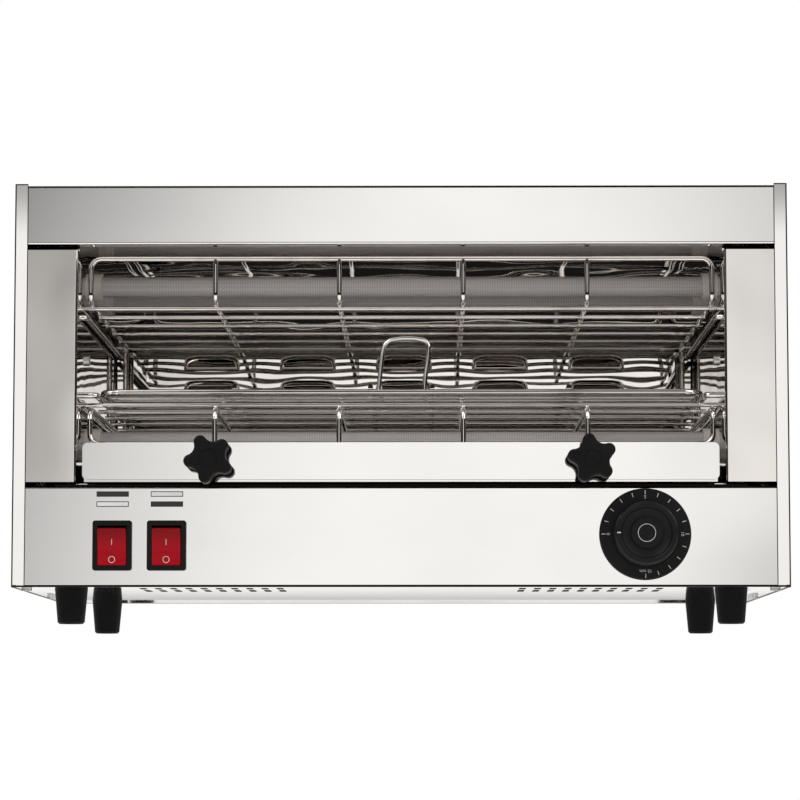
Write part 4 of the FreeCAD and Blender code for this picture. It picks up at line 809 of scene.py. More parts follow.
def coil(
    x_start: float, x_end: float, y: float, z: float, radius: float, wire: float, pitch: float
) -> Surface:
    """Helix along X: the path is (x, r cos t, r sin t), and a small ring is carried along it.

    Args:
        x_start: first turn.
        x_end: last turn.
        y: axis.
        z: axis.
        radius: middle of the wire.
        wire: radius of the wire.
        pitch: advance of a turn.

    Returns:
        The surface with closed ends.
    """
    per_turn, sides = 14, 5
    length = x_end - x_start
    steps = int(length / pitch * per_turn)
    travel = np.linspace(0.0, 1.0, steps) * length
    turn = travel / pitch * 2 * np.pi
    outward = np.stack([np.zeros(steps), np.cos(turn), np.sin(turn)], -1)
    axis = np.stack([x_start + travel, np.full(steps, y), np.full(steps, z)], -1)
    path = axis + radius * outward
    forward = np.gradient(path, axis=0)
    forward /= np.linalg.norm(forward, axis=1, keepdims=True)
    sideways = np.cross(forward, outward)
    angle = np.linspace(0.0, 2 * np.pi, sides, endpoint=False)[None, :, None]
    around = np.cos(angle) * outward[:, None] + np.sin(angle) * sideways[:, None]
    grid = path[:, None] + wire * around
    return sheet_of(grid, wrap_columns=True).capped(sides, swapped=True)


def upright_tube(
    places: np.ndarray, y: float, radius: float, steps: int = 10, sides: int = 20
) -> Surface:
    """A round wire along a smooth line in an upright plane.

    Between two places p1 and p2, with p0 before and p3 after them, the line is the cubic
    (2 p1 + (p2 - p0) t + (2 p0 - 5 p1 + 4 p2 - p3) t^2 + (3 p1 - p0 - 3 p2 + p3) t^3) / 2.

    Args:
        places: X and Z of the places that the line goes through.
        y: the plane.
        radius: of the wire.
        steps: points between two places.
        sides: facets around.

    Returns:
        The surface with closed ends.
    """
    padded = np.vstack([2 * places[:1] - places[1:2], places, 2 * places[-1:] - places[-2:-1]])
    p0, p1, p2, p3 = padded[:-3, None], padded[1:-2, None], padded[2:-1, None], padded[3:, None]
    t = np.linspace(0.0, 1.0, steps, endpoint=False)[None, :, None]
    curve = 2 * p1 + (p2 - p0) * t
    curve = curve + (2 * p0 - 5 * p1 + 4 * p2 - p3) * t**2 + (3 * p1 - p0 - 3 * p2 + p3) * t**3
    line = np.vstack([curve.reshape(-1, 2) / 2, places[-1:]])
    forward = np.gradient(line, axis=0)
    forward /= np.linalg.norm(forward, axis=1, keepdims=True)
    angle = np.linspace(0.0, 2 * np.pi, sides, endpoint=False)[None, :]
    aside = radius * np.sin(angle)
    grid = np.stack(
        [
            line[:, :1] - forward[:, 1:] * aside,
            np.broadcast_to(y + radius * np.cos(angle), (len(line), sides)),
            line[:, 1:] + forward[:, :1] * aside,
        ],
        axis=-1,
    )
    return sheet_of(grid, wrap_columns=True).capped(sides)


def lettering(
    text: str, size: float, x: float, z: float, turn: float, y_rear: float, raise_by: float
) -> Surface:
    """Generic numerals as a thin raised print, turned about the viewer's line of sight.

    Args:
        text: the numerals.
        size: height of the type.
        x: middle.
        z: middle.
        turn: degrees anticlockwise as seen from the front.
        y_rear: the surface that it is printed on.
        raise_by: thickness.

    Returns:
        The surface.
    """
    curve = bpy.data.curves.new("numerals", "FONT")
    curve.body = text
    curve.size = size
    curve.align_x = "CENTER"
    curve.align_y = "CENTER"
    curve.extrude = raise_by / 2
    curve.resolution_u = 3
    holder = bpy.data.objects.new("numerals", curve)
    bpy.context.scene.collection.objects.link(holder)
    graph = bpy.context.evaluated_depsgraph_get()
    mesh = bpy.data.meshes.new_from_object(holder.evaluated_get(graph))
    flat = np.empty(len(mesh.vertices) * 3)
    mesh.vertices.foreach_get("co", flat)
    flat = flat.reshape(-1, 3)
    angle = math.radians(turn)
    across = flat[:, 0] * math.cos(angle) - flat[:, 1] * math.sin(angle)
    along = flat[:, 0] * math.sin(angle) + flat[:, 1] * math.cos(angle)
    points = np.stack([x + across, y_rear - raise_by / 2 - flat[:, 2], z + along], -1)
    faces = [tuple(face.vertices) for face in mesh.polygons]
    bpy.data.objects.remove(holder)
    bpy.data.curves.remove(curve)
    bpy.data.meshes.remove(mesh)
    return Surface(points, faces)


class SubAssembly:
    """A group of nodes and pieces that is dressed together."""

    nodes: dict[str, Finish] = {}

    def __init__(self, frame: dict) -> None:
        """Keep the frame.
        """
        self.frame = frame

    def dress(self) -> None:
        """Give each carried-over node of the group its finish."""
        for name, finish in self.nodes.items():
            node = self.frame["nodes"][name]
            node.data.materials.clear()
            node.data.materials.append(finish.material())
            LOG.info("dressed %s in %s", name, finish.title)

    def build(self) -> list[bpy.types.Object]:
        """Make the group's own pieces."""
        return []


def node_middle(name: str) -> Point:
    """Middle of a node's box."""
    low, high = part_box(name)
    return tuple((a + b) / 2 for a, b in zip(low, high))


class Cabinet(SubAssembly):
    """Outer sheets and the marks printed on the control panel."""

    nodes = {
        "left_side_panel": SIDE_STEEL,
        "right_side_panel": SIDE_STEEL,
        "top_cover": HEADER_STEEL,
        "control_panel": CONTROL_STEEL,
        "rear_panel": BODY_STEEL,
        "base_panel": BODY_STEEL,
    }

    @dataclass
    class Marks:
        """Sizes of the bars printed above the switches and of the flanges' upper corners."""

        flange_inner: float = 212.5 * MM
        corner_drop: float = 6.0 * MM
        sheet: float = 1.0 * MM
        width: float = 18.3 * MM
        height: float = 3.1 * MM
        line: float = 0.45 * MM
        upper_z: float = 72.6 * MM
        lower_z: float = 66.9 * MM
        raise_by: float = 0.06 * MM

    def build(self) -> list[bpy.types.Object]:
        """Print a filled and an outlined bar over each switch."""
        sizes = self.Marks()
        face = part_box("control_panel")[0][1]
        middle, front = face - sizes.raise_by / 2, face - sizes.raise_by
        filled, outlines, insides = [], [], []
        for switch, filled_on_top in (("left", True), ("right", False)):
            x = node_middle(f"{switch}_switch_housing")[0]
            rows = (sizes.upper_z, sizes.lower_z)
            dark, hollow = rows if filled_on_top else rows[::-1]
            filled.append(bar(x, dark, sizes.width, sizes.height, face, front))
            insides.append(bar(x, hollow, sizes.width, sizes.height, face, middle))
            for shift in (-1, 1):
                z = hollow + shift * (sizes.height - sizes.line) / 2
                outlines.append(bar(x, z, sizes.width, sizes.line, face, front))
                side = x + shift * (sizes.width - sizes.line) / 2
                tall = sizes.height - 2 * sizes.line
                outlines.append(bar(side, hollow, sizes.line, tall, face, front))
        marks, fills = joined(filled + outlines), joined(insides)
        corners = self.corner_plates(sizes)
        return [
            marks.piece("switch_marks", DARK_INK, Body.CABINET, "black_gloss", None),
            fills.piece("switch_mark_fills", WHITE_INK, Body.CABINET, "polished_steel", None),
            corners.piece("flange_corners", SIDE_STEEL, Body.CABINET, "polished_steel", None),
        ]

    @staticmethod
    def corner_plates(sizes: "Cabinet.Marks") -> Surface:
        """The sheet that closes the upper corner of each side panel's front flange.

        Args:
            sizes: sizes of the marks and corners.

        Returns:
            Two three-cornered plates, one on either side.
        """
        low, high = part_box("left_side_panel")
        inner, outer = sizes.flange_inner, -low[0] - sizes.sheet
        top, under = high[2], high[2] - sizes.corner_drop
        right = [(inner, top - sizes.sheet), (outer, under), (outer, top), (inner, top)]
        left = [(-x, z) for x, z in reversed(right)]
        rear, front = low[1] + sizes.sheet, low[1]
        return prism(right, rear, front) + prism(left, rear, front)


class OvenLining(SubAssembly):
    """Bright sheets round the oven and the stamped back with its louvres."""

    nodes = {
        "left_oven_wall": LINING_STEEL,
        "right_oven_wall": LINING_STEEL,
        "oven_floor": FLOOR_STEEL,
        "ceiling_reflector": LINING_STEEL,
    }

    @dataclass
    class Louvres:
        """Sizes of the stamped hoods."""

        width: float = 36.0 * MM
        height: float = 8.6 * MM
        reach: float = 4.8 * MM
        slack: float = 0.03 * MM
        slack_height: float = 9.0 * MM
        slot: float = 0.25 * MM
        least_lift: float = 0.3 * MM
        gauge: float = 0.6 * MM
        pitch: float = 62.2 * MM
        count: int = 5
        upper_z: float = 175.4 * MM
        lower_z: float = 159.6 * MM

    def build(self) -> list[bpy.types.Object]:
        """Stamp the back: a sheet from which hoods rise, cut open along their feet.

        With u from -1 to 1 along a hood and v from 0 at its foot to 1 at its top, its outline is
        u^6 + v^3 = 1. Its height over the sheet is reach times a steep round edge times
        1 - 0.7 v. The strip under its foot is left out. Between the hoods the sheet has drawn
        into shallow waves: slack times a bell about each row times a cosine of the pitch.
        """
        sizes = self.Louvres()
        low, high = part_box("louvred_back")
        plane = high[1] - 1.0 * MM
        feet = [z - sizes.height / 2 for z in (sizes.lower_z, sizes.upper_z)]
        climbing = sizes.height * np.linspace(0, 1, 16) ** 0.7 * 1.02
        closer = [foot + np.concatenate([[-sizes.slot, 0.0], climbing]) for foot in feet]
        tall = merged([np.linspace(low[2], high[2], 70), *closer])
        middles = [(index - (sizes.count - 1) / 2) * sizes.pitch for index in range(sizes.count)]
        half = sizes.width / 2
        beside = half * np.sin(np.linspace(-np.pi / 2, np.pi / 2, 41)) * 1.01
        wide = merged([np.linspace(low[0], high[0], 120), *(middle + beside for middle in middles)])
        across, up = np.meshgrid(wide, tall)
        middle_z = (sizes.lower_z + sizes.upper_z) / 2
        row_gap = sizes.upper_z - sizes.lower_z
        wave = np.cos(2 * np.pi * across / sizes.pitch) * np.cos(np.pi * (up - middle_z) / row_gap)
        bell = np.exp(-(((up - middle_z) / (row_gap + sizes.slack_height)) ** 4))
        sag = sizes.slack * wave * bell
        rise = np.zeros_like(across)
        for foot in feet:
            climb = (up - foot) / sizes.height
            for middle in middles:
                along = np.abs(across - middle) / half
                inside = np.where(climb >= 0, 1 - along**6 - np.clip(climb, 0, None) ** 3, 0)
                edge = 1 - (1 - np.clip(inside / 0.45, 0, 1)) ** 2
                rise = np.maximum(rise, sizes.reach * edge * (1 - 0.7 * climb))
        raised = rise > 0
        rise = np.where(raised, rise, sag)
        grid = np.stack([across, plane - rise, up], -1)
        skin = sheet_of(grid)
        steps = [tall > foot - 1e-6 for foot in feet]
        foot_row = np.any([~step[:-1] & step[1:] for step in steps], axis=0)
        lifted = np.maximum(rise[1:, :-1], rise[1:, 1:]) > sizes.least_lift
        closed = ~(foot_row[:, None] & lifted)
        keep = [skin.faces[number] for number in np.flatnonzero(closed)]
        made = Surface(skin.points, keep).piece(
            "stamped_back", LINING_STEEL, Body.CABINET, "lining_steel", 60.0
        )
        wall = made.modifiers.new("gauge", "SOLIDIFY")
        wall.thickness = sizes.gauge
        wall.offset = -1.0
        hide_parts("louvred_back")
        return [made]


class Heaters(SubAssembly):
    """Quartz tubes, their coils, ceramic caps and terminals."""

    nodes = {
        "upper_front_quartz_tube": QUARTZ,
        "upper_rear_quartz_tube": QUARTZ,
        "lower_front_quartz_tube": QUARTZ,
        "lower_rear_quartz_tube": QUARTZ,
        "upper_end_caps": CERAMIC,
        "lower_end_caps": CERAMIC,
        "tube_terminals": ZINC,
    }

    @dataclass
    class Winding:
        """Sizes of a heating coil."""

        radius: float = 3.1 * MM
        wire: float = 0.42 * MM
        pitch: float = 2.0 * MM

    def build(self) -> list[bpy.types.Object]:
        """Wind a coil in every tube."""
        sizes = self.Winding()
        made = []
        for level in ("upper", "lower"):
            low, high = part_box(f"{level}_heating_coils")
            axes = [node_middle(f"{level}_{place}_quartz_tube")[1:] for place in ("front", "rear")]
            winding = joined(
                coil(low[0], high[0], y, z, sizes.radius, sizes.wire, sizes.pitch) for y, z in axes
            )
            piece = winding.piece(f"{level}_coil_winding", COIL, Body.CABINET, "heating_coil", 80.0)
            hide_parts(f"{level}_heating_coils")
            made.append(piece)
        return made


class WireWork(SubAssembly):
    """Guards, rack brackets and the pull-out rack with its loop handle."""

    nodes = {
        "upper_guard": WIRE,
        "lower_guard": WIRE,
        "left_rack_bracket": WIRE,
        "right_rack_bracket": WIRE,
        "toasting_rack": RACK_WIRE,
    }

    @dataclass
    class Loop:
        """The hand-bent loop's middle line, from its left foot to its right foot, and its wire."""

        places: tuple[tuple[float, float], ...] = (
            (-13.3, 137.2),
            (-12.6, 143.5),
            (-11.7, 152.0),
            (-10.9, 158.6),
            (-9.4, 163.6),
            (-6.6, 166.0),
            (-1.6, 167.0),
            (4.0, 167.3),
            (10.0, 166.9),
            (13.9, 165.9),
            (15.6, 163.6),
            (15.8, 159.6),
            (15.3, 153.1),
            (14.2, 146.3),
            (13.6, 140.5),
            (13.5, 137.2),
        )
        wire: float = 1.35 * MM
        depth: float = -74.35 * MM

    def build(self) -> list[bpy.types.Object]:
        """Bend the loop handle, which stands on the rack's front rod."""
        sizes = self.Loop()
        loop = upright_tube(np.array(sizes.places) * MM, sizes.depth, sizes.wire)
        made = loop.piece("bent_loop", WIRE, Body.RACK, "bright_wire", 60.0)
        flip_outwards(made)
        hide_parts("rack_loop_handle")
        return [made]


class CrumbTray(SubAssembly):
    """Tray, its front plate, the studs and the two star knobs."""

    nodes = {
        "crumb_tray_front": BODY_STEEL,
        "crumb_tray_pan": LINING_STEEL,
        "tray_studs": ZINC,
        "left_star_insert": BRASS,
        "right_star_insert": BRASS,
        "left_star_knob": KNOB_BLACK,
        "right_star_knob": KNOB_BLACK,
        "left_star_cap": KNOB_BLACK,
        "right_star_cap": KNOB_BLACK,
    }


class Switches(SubAssembly):
    """Bezels, red rockers with their legends, and the blades behind them."""

    nodes = {
        "left_switch_housing": BEZEL_BLACK,
        "right_switch_housing": BEZEL_BLACK,
        "switch_terminals": TIN,
    }

    @dataclass
    class Rocker:
        """Sizes of a rocker about its pivot, level, with the front face at negative Y."""

        half_width: float = 8.0 * MM
        half_height: float = 10.45 * MM
        proud: float = 7.0 * MM
        hollow: float = 1.4 * MM
        shoulder: float = 3.0 * MM
        tail: float = 4.0 * MM
        tilt: float = 8.0
        edge: float = 0.7 * MM
        stroke_up: float = 2.7 * MM
        stroke_half: float = 1.7 * MM
        ring: float = 1.75 * MM
        ring_down: float = 7.2 * MM
        lip: float = 0.3 * MM
        brim: float = 0.4 * MM
        line: float = 0.34 * MM
        raise_by: float = 0.05 * MM

    def build(self) -> list[bpy.types.Object]:
        """Make both rockers and print their legends."""
        made = []
        for side, body in (("left", Body.LEFT_ROCKER), ("right", Body.RIGHT_ROCKER)):
            made += self.rocker(side, body)
        return made

    def turned(self, local: np.ndarray, pivot: Point) -> np.ndarray:
        """Tilt points about the pivot so that the lower end is pressed in.

        Args:
            local: points about the pivot.
            pivot: the hinge.

        Returns:
            Points in the frame.
        """
        angle = math.radians(self.Rocker().tilt)
        y = local[:, 1] * math.cos(angle) - local[:, 2] * math.sin(angle)
        z = local[:, 1] * math.sin(angle) + local[:, 2] * math.cos(angle)
        return np.stack([local[:, 0], y, z], -1) + np.array(pivot)

    def rocker(self, side: str, body: Body) -> list[bpy.types.Object]:
        """A red rocker with a softly hollow face and a legend on each half.

        The face's depth over the height t from -1 to 1 is hollow times 1 - t^2.

        Args:
            side: left or right.
            body: the body that it moves with.

        Returns:
            The rocker and its legend.
        """
        sizes = self.Rocker()
        x = node_middle(f"{side}_switch_housing")[0]
        joint = next(item for item in self.frame["joints"] if item["name"] == f"{side}_switch_rock")
        pivot = (x, joint["pos_m"][1], joint["pos_m"][2])
        climb = np.linspace(-1.0, 1.0, 25)
        face_y = -sizes.proud + sizes.hollow * (1 - climb**2)
        face = np.stack([face_y, climb * (sizes.half_height - sizes.lip)], -1)
        rear = np.array(
            [
                (-sizes.shoulder, sizes.half_height),
                (sizes.tail, sizes.half_height / 2),
                (sizes.tail, -sizes.half_height / 2),
                (-sizes.shoulder, -sizes.half_height),
            ]
        )
        brim = -sizes.proud + sizes.brim
        section = np.vstack([face, [(brim, sizes.half_height)], rear, [(brim, -sizes.half_height)]])
        middle = section.mean(axis=0)
        widths = [(-1.0, 0.93), (-0.955, 1.0), (0.955, 1.0), (1.0, 0.93)]
        rings = []
        for place, scale in widths:
            ring = middle + (section - middle) * scale
            rings.append(np.column_stack([np.full(len(ring), place * sizes.half_width), ring]))
        skin = sheet_of(np.stack(rings), wrap_columns=True).capped(len(section))
        solid = Surface(self.turned(skin.points, pivot), skin.faces)
        rocker = solid.piece(f"{side}_rocker_cap", ROCKER_RED, body, "red_rocker", 28.0)
        flip_outwards(rocker)
        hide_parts(f"{side}_rocker")

        def printed(surface: Surface, z_middle: float) -> Surface:
            """Lay a legend, drawn flat about the origin, on the face's slope."""
            local = surface.points + (0.0, 0.0, z_middle)
            level = np.clip(np.abs(local[:, 2] / (sizes.half_height - sizes.lip)), 0, 1)
            local[:, 1] += -sizes.proud + sizes.hollow * (1 - level**2)
            return Surface(self.turned(local, pivot), surface.faces)

        stroke = bar(0.0, 0.0, sizes.line, 2 * sizes.stroke_half, 0.0, -sizes.raise_by)
        ring = band(sizes.ring, sizes.line, (0.0, 0.0, 0.0), sizes.raise_by, 40)
        legend = printed(stroke, sizes.stroke_up) + printed(ring, -sizes.ring_down)
        print_piece = legend.piece(f"{side}_rocker_legend", PALE_INK, body, "red_rocker", None)
        return [rocker, print_piece]


class Timer(SubAssembly):
    """Scale disc with its ticks and numerals, the dished knob and the clockwork behind."""

    nodes = {
        "timer_scale_disc": DIAL_BLACK,
        "timer_knob_cap": DIAL_BLACK,
        "timer_shaft": ZINC,
        "clockwork_case": CASE,
        "timer_case_screws": ZINC,
    }

    @dataclass
    class Dial:
        """Sizes of the knob, its pointer and the scale."""

        radius: float = 18.6 * MM
        reach: float = 14.0 * MM
        rim: float = 1.9 * MM
        draft: float = 1.0 * MM
        dish: float = 3.0 * MM
        hub: float = 8.95 * MM
        hub_sink: float = 2.0 * MM
        foot: float = 0.3 * MM
        bevel: float = 0.4 * MM
        tick_inner: float = 21.9 * MM
        tick_outer: float = 24.2 * MM
        tick_width: float = 0.4 * MM
        minutes: int = 15
        minute_turn: float = 18.0
        raise_by: float = 0.05 * MM
        ring_radius: float = 4.9 * MM
        pointer_radius: float = 15.7 * MM
        pointer_length: float = 2.0 * MM
        pointer_width: float = 0.7 * MM
        pointer_depth: float = 0.9 * MM
        numeral: float = 2.6 * MM
        numeral_gap: float = 1.55 * MM
        long_tick: float = 0.5 * MM

    def build(self) -> list[bpy.types.Object]:
        """Make the knob, its marks and the printed scale."""
        sizes = self.Dial()
        x, _, z = node_middle("timer_scale_disc")
        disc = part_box("timer_scale_disc")[0][1]
        return [
            self.knob(sizes, (x, disc, z)),
            self.knob_marks(sizes, (x, disc, z)),
            self.scale(sizes, x, disc, z),
        ]

    @staticmethod
    def knob(sizes: "Timer.Dial", centre: Point) -> bpy.types.Object:
        """Turn the knob's smooth section: drafted wall, round rim, cone and a flat hub.

        Args:
            sizes: the dial's sizes.
            centre: middle of the scale disc's face.

        Returns:
            The knob.
        """
        bend = np.linspace(0.0, np.pi, 13)
        rim_middle = sizes.radius - sizes.draft - sizes.rim
        start = sizes.reach - sizes.rim
        rim = [
            (rim_middle + sizes.rim * math.cos(a), start + sizes.rim * math.sin(a)) for a in bend
        ]
        slide = np.linspace(0.0, 1.0, 12)
        inner, floor = rim_middle - sizes.rim, sizes.reach - sizes.dish
        cone = [
            (inner + (sizes.hub - inner) * t, start + (floor - start) * (1 - (1 - t) ** 1.7))
            for t in slide[1:]
        ]
        radius, foot, bevel, under = sizes.radius, sizes.foot, sizes.bevel, floor - sizes.hub_sink
        section = [
            (0.0, foot),
            (radius - bevel, foot),
            (radius, foot + bevel),
            (radius, 4 * bevel),
            (radius - 0.25 * MM, 5 * bevel),
            *rim,
            *cone,
            (sizes.hub, under),
            (0.0, under),
        ]
        solid = lathe(section, centre, 128)
        knob = solid.piece("timer_dial", DIAL_BLACK, Body.TIMER, "dial_grey", 40.0)
        flip_outwards(knob)
        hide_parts("timer_knob")
        return knob

    @staticmethod
    def knob_marks(sizes: "Timer.Dial", centre: Point) -> bpy.types.Object:
        """The pointer on the rim and the thin ring on the hub.

        Args:
            sizes: the dial's sizes.
            centre: middle of the scale disc's face.

        Returns:
            The marks.
        """
        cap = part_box("timer_knob_cap")[0][1]
        ring = band(sizes.ring_radius, 0.3 * MM, (centre[0], cap, centre[2]), sizes.raise_by, 72)
        crest = centre[1] - sizes.reach
        pointer = bar(
            centre[0] - sizes.pointer_radius,
            centre[2],
            sizes.pointer_length,
            sizes.pointer_width,
            crest + sizes.pointer_depth,
            crest - sizes.raise_by,
        )
        return (ring + pointer).piece("timer_dial_marks", PALE_INK, Body.TIMER, "dial_grey", None)

    @staticmethod
    def scale(sizes: "Timer.Dial", x: float, y: float, z: float) -> bpy.types.Object:
        """Ticks from nought at nine o'clock clockwise to fifteen at six o'clock, with numerals.

        Args:
            sizes: the dial's sizes.
            x: middle.
            y: the disc's face.
            z: middle.

        Returns:
            The printed scale.
        """
        printed = []
        front = y - sizes.raise_by
        for minute in range(sizes.minutes + 1):
            angle = math.radians(180.0 - sizes.minute_turn * minute)
            numbered = minute % 5 == 0
            further = sizes.long_tick if numbered else 0.0
            outer, inner = sizes.tick_outer + further, sizes.tick_inner + further
            along = np.array([math.cos(angle), math.sin(angle)])
            side = np.array([-along[1], along[0]]) * sizes.tick_width / 2
            near, far = inner * along + (x, z), outer * along + (x, z)
            ends = [near - side, far - side, far + side, near + side]
            printed.append(prism(ends, y, front))
            if numbered:
                text = "15 min" if minute == sizes.minutes else str(minute)
                spot = (inner - sizes.numeral_gap) * along + (x, z)
                turn = math.degrees(angle) - 90.0
                printed.append(lettering(text, sizes.numeral, *spot, turn, y, sizes.raise_by))
        return joined(printed).piece("timer_scale_print", PALE_INK, Body.CABINET, "dial_grey", None)


class FeetAndFixings(SubAssembly):
    """Rubber feet and the screws that hold the sheets together."""

    nodes = {
        "front_left_foot": FOOT_RUBBER,
        "front_right_foot": FOOT_RUBBER,
        "rear_left_foot": FOOT_RUBBER,
        "rear_right_foot": FOOT_RUBBER,
        "foot_screws": ZINC,
        "bottom_screws": ZINC,
        "rear_screws": ZINC,
        "oven_wall_screws": ZINC,
    }


class Mains(SubAssembly):
    """Cable gland, lock nut, terminal block and earth stud."""

    nodes = {
        "cable_gland": KNOB_BLACK,
        "gland_lock_nut": KNOB_BLACK,
        "terminal_block": CASE,
        "earth_stud": BRASS,
    }


def flip_outwards(made: bpy.types.Object) -> None:
    """Turn a closed piece's faces outwards by the sign of its volume.

    The volume is a sixth of the sum, over all triangles, of the corners' triple product.

    Args:
        made: a closed mesh object.
    """
    mesh = made.data
    mesh.calc_loop_triangles()
    corners = np.empty(len(mesh.loop_triangles) * 3, dtype=np.int64)
    mesh.loop_triangles.foreach_get("vertices", corners)
    spots = np.empty(len(mesh.vertices) * 3)
    mesh.vertices.foreach_get("co", spots)
    a, b, c = spots.reshape(-1, 3)[corners.reshape(-1, 3)].transpose(1, 0, 2)
    if np.einsum("ij,ij->i", a, np.cross(b, c)).sum() < 0:
        mesh.flip_normals()


@dataclass
class Studio:
    """Camera, lamps, surroundings and the table."""

    eye: Point = (0.0145, -1.86435, -0.0534)
    focal_pixels: float = 3069.0
    frame_pixels: float = 800.0
    sensor: float = 36.0
    shift_y: float = 0.05
    enlarge: float = 1.006
    aim_px: tuple[float, float] = (26.2, 316.5)
    front_y: float = -0.12435
    room_light: float = 0.62
    lit_point: Point = (0.0, 0.0, 0.12)
    table_reach: float = 3.0

    def camera(self) -> None:
        """Stand the camera low in front of the cabinet, turned up a little to centre it."""
        data = bpy.data.cameras.new("camera")
        data.lens = self.enlarge * self.focal_pixels / self.frame_pixels * self.sensor
        data.sensor_width = self.sensor
        data.shift_y = self.shift_y
        data.clip_start = 0.05
        data.clip_end = 50.0
        made = bpy.data.objects.new("camera", data)
        bpy.context.scene.collection.objects.link(made)
        yaw = math.atan(self.aim_px[0] / self.focal_pixels)
        rise = self.aim_px[1] / self.focal_pixels
        pitch = math.atan(rise) - math.atan(self.shift_y * self.frame_pixels / self.focal_pixels)
        made.location = self.eye
        made.rotation_euler = (math.pi / 2 + pitch, 0.0, yaw)
        bpy.context.scene.camera = made

    def lamps(self) -> None:
        """A large soft lamp over the front, and weaker ones from the right and behind."""
        self.lamp("key_lamp", (-0.9, -1.3, 1.5), 1.1, 11.0)
        self.lamp("fill_lamp", (1.3, -0.9, 0.9), 0.9, 5.0)
        self.lamp("back_lamp", (0.3, 1.5, 1.4), 1.2, 7.0)

    def lamp(self, name: str, spot: Point, size: float, power: float) -> None:
        """A square lamp that faces the cabinet.

        Args:
            name: the lamp's name.
            spot: where it hangs.
            size: its side.
            power: in watts.
        """
        data = bpy.data.lights.new(name, "AREA")
        data.size = size
        data.energy = power
        made = bpy.data.objects.new(name, data)
        bpy.context.scene.collection.objects.link(made)
        made.location = spot
        way = np.array(self.lit_point) - np.array(spot)
        tilt = math.atan2(math.hypot(way[0], way[1]), -way[2])
        made.rotation_euler = (tilt, 0.0, math.atan2(way[1], way[0]) - math.pi / 2)

    def surroundings(self) -> None:
        """A white room for the camera; for metal, a bright window in front of a dark room.

        The place on the cabinet's front that mirrors a direction is the eye's place plus the
        distance to the front times the direction over its own forward part, and the tone of the
        window is a smooth function of that place.
        """
        world = bpy.data.worlds.new("room")
        world.use_nodes = True
        bpy.context.scene.world = world
        recipe = Recipe(world.node_tree)
        way = recipe.node("ShaderNodeTexCoord", output="Generated")
        x, y, z = recipe.parts(way)
        ahead = y * -1.0
        forward = recipe.largest(ahead, 0.02)
        slope_x, slope_z = x / forward, z / forward
        distance = self.front_y - self.eye[1]
        across = slope_x * distance + self.eye[0]
        up = slope_z * distance + self.eye[2]
        tone = self.window_tone(across, up)
        aside = recipe.absolute(slope_x)
        opening = (
            ahead.ramp(0.05, 0.15)
            * aside.ramp(0.17, 0.26, 1.0, 0.0)
            * slope_z.ramp(-0.045, 0.01)
            * slope_z.ramp(0.9, 1.9, 1.0, 0.0)
        )
        strips = aside.ramp(1.4, 1.6) * aside.ramp(2.0, 2.4, 1.0, 0.0) * z.ramp(-0.1, 0.1)
        overhead = slope_z.ramp(0.21, 0.3) * ahead.ramp(0.0, 0.2) * aside.ramp(1.0, 2.0, 1.0, 0.0)
        behind = y.ramp(0.05, 0.35) * (z.ramp(-0.2, 0.7) * 0.35 + 0.3)
        room = 0.008 + overhead * 0.95 + strips * 0.1 + behind
        glossy = opening * tone + (1.0 - opening) * room
        camera, through, mirror = recipe.outputs(
            "ShaderNodeLightPath", "Is Camera Ray", "Is Transmission Ray", "Is Glossy Ray"
        )
        level = mirror * glossy + (1.0 - mirror) * self.room_light
        seen = recipe.largest(camera, through)
        strength = seen + (1.0 - seen) * level
        tint = recipe.blend(mirror, (1.0, 1.0, 1.0), (1.0, 0.993, 0.982))
        shade = recipe.node("ShaderNodeBackground", sockets={"Color": tint, "Strength": strength})
        end = recipe.tree.nodes.new("ShaderNodeOutputWorld")
        recipe.tree.links.new(shade.socket, end.inputs["Surface"])

    @staticmethod
    def window_tone(across: Signal, up: Signal) -> Signal:
        """Tone of the window: level in the middle, dark to the left and duller to the right.

        Args:
            across: the mirrored place on the front, in metres to the right.
            up: the mirrored place on the front, in metres up.

        Returns:
            The tone.
        """
        high = up.recipe.largest(up, 0.0)
        left = (high * high * 1.2 - across).ramp(0.04, 0.38) * 0.86
        right = (across + up.recipe.largest(up - 0.07, 0.0) * 0.4).ramp(0.13, 0.36) * 0.42
        corner = up.ramp(0.03, 0.07, 1.0, 0.0) * across.ramp(0.12, 0.22) * 0.2
        return 1.03 - left - right - corner

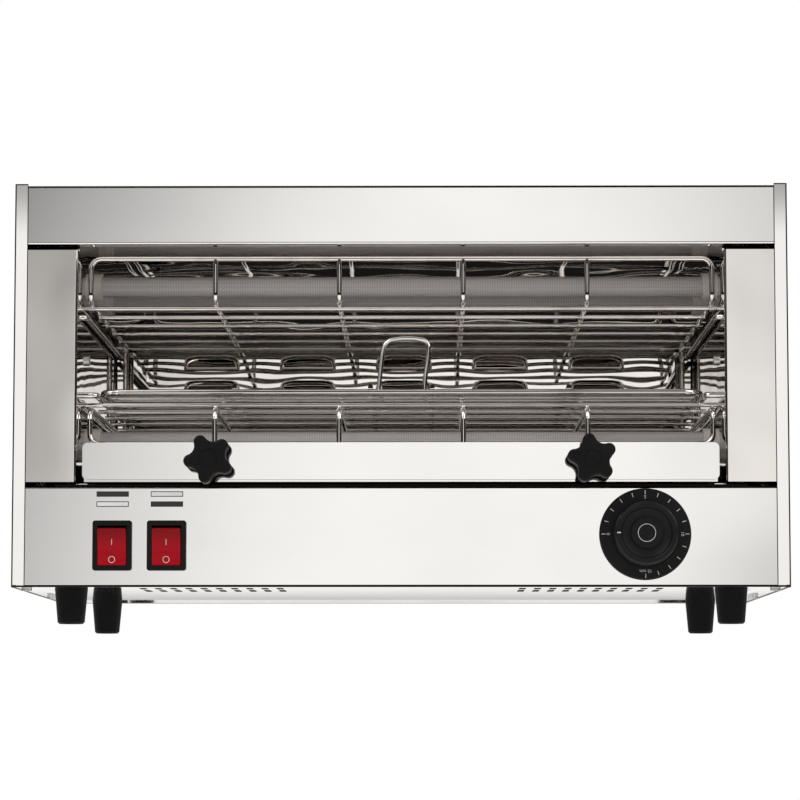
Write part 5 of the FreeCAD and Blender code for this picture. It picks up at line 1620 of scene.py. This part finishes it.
    def table(self) -> None:
        """A pale table top that can be seen through from below."""
        reach = self.table_reach
        turns = ((-1, -1), (1, -1), (1, 1), (-1, 1))
        corners = [(x * reach, y * reach, 0.0) for x, y in turns]
        mesh = bpy.data.meshes.new("table_top")
        mesh.from_pydata(corners, [], [(0, 1, 2, 3)])
        made = bpy.data.objects.new("table_top", mesh)
        bpy.context.scene.collection.objects.link(made)
        material = bpy.data.materials.new("table_white")
        material.use_nodes = True
        recipe = Recipe(material.node_tree)
        mirror, through = recipe.outputs(
            "ShaderNodeLightPath", "Is Glossy Ray", "Is Transmission Ray"
        )
        (back,) = recipe.outputs("ShaderNodeNewGeometry", "Backfacing")
        bright = recipe.largest(mirror, through)
        across, depth, _ = recipe.axes()
        lit = depth.ramp(-0.8, -0.6, 0.01, 1.0) * depth.ramp(0.35, 0.75, 1.0, 0.4)
        tone = recipe.largest(through, lit * recipe.absolute(across).ramp(0.3, 0.7, 1.0, 0.45))
        matte = recipe.node("ShaderNodeBsdfDiffuse", sockets={"Color": (0.86, 0.86, 0.86, 1.0)})
        warm = {"Color": (1.0, 0.985, 0.97, 1.0), "Strength": tone}
        glow = recipe.node("ShaderNodeEmission", sockets=warm)
        clear = recipe.node("ShaderNodeBsdfTransparent")
        top = recipe.node("ShaderNodeMixShader", sockets={0: bright, 1: matte, 2: glow})
        whole = recipe.node("ShaderNodeMixShader", sockets={0: back, 1: top, 2: clear})
        end = recipe.tree.nodes.new("ShaderNodeOutputMaterial")
        recipe.tree.links.new(whole.socket, end.inputs["Surface"])
        mesh.materials.append(material)

    def build(self) -> None:
        """Set up the whole studio."""
        self.camera()
        self.lamps()
        self.surroundings()
        self.table()
        bpy.context.scene.view_settings.view_transform = "Standard"


def main() -> None:
    """Load the frame, dress it sub-assembly by sub-assembly and light it."""
    logging.basicConfig(level=logging.INFO, format="%(message)s")
    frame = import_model()
    Studio().build()
    kinds: list[type[SubAssembly]] = [
        Cabinet,
        OvenLining,
        Heaters,
        WireWork,
        CrumbTray,
        Switches,
        Timer,
        FeetAndFixings,
        Mains,
    ]
    for kind in kinds:
        group = kind(frame)
        group.dress()
        for piece in group.build():
            LOG.info("made %s with %d faces", piece.name, len(piece.data.polygons))


if __name__ == "__main__":
    main()
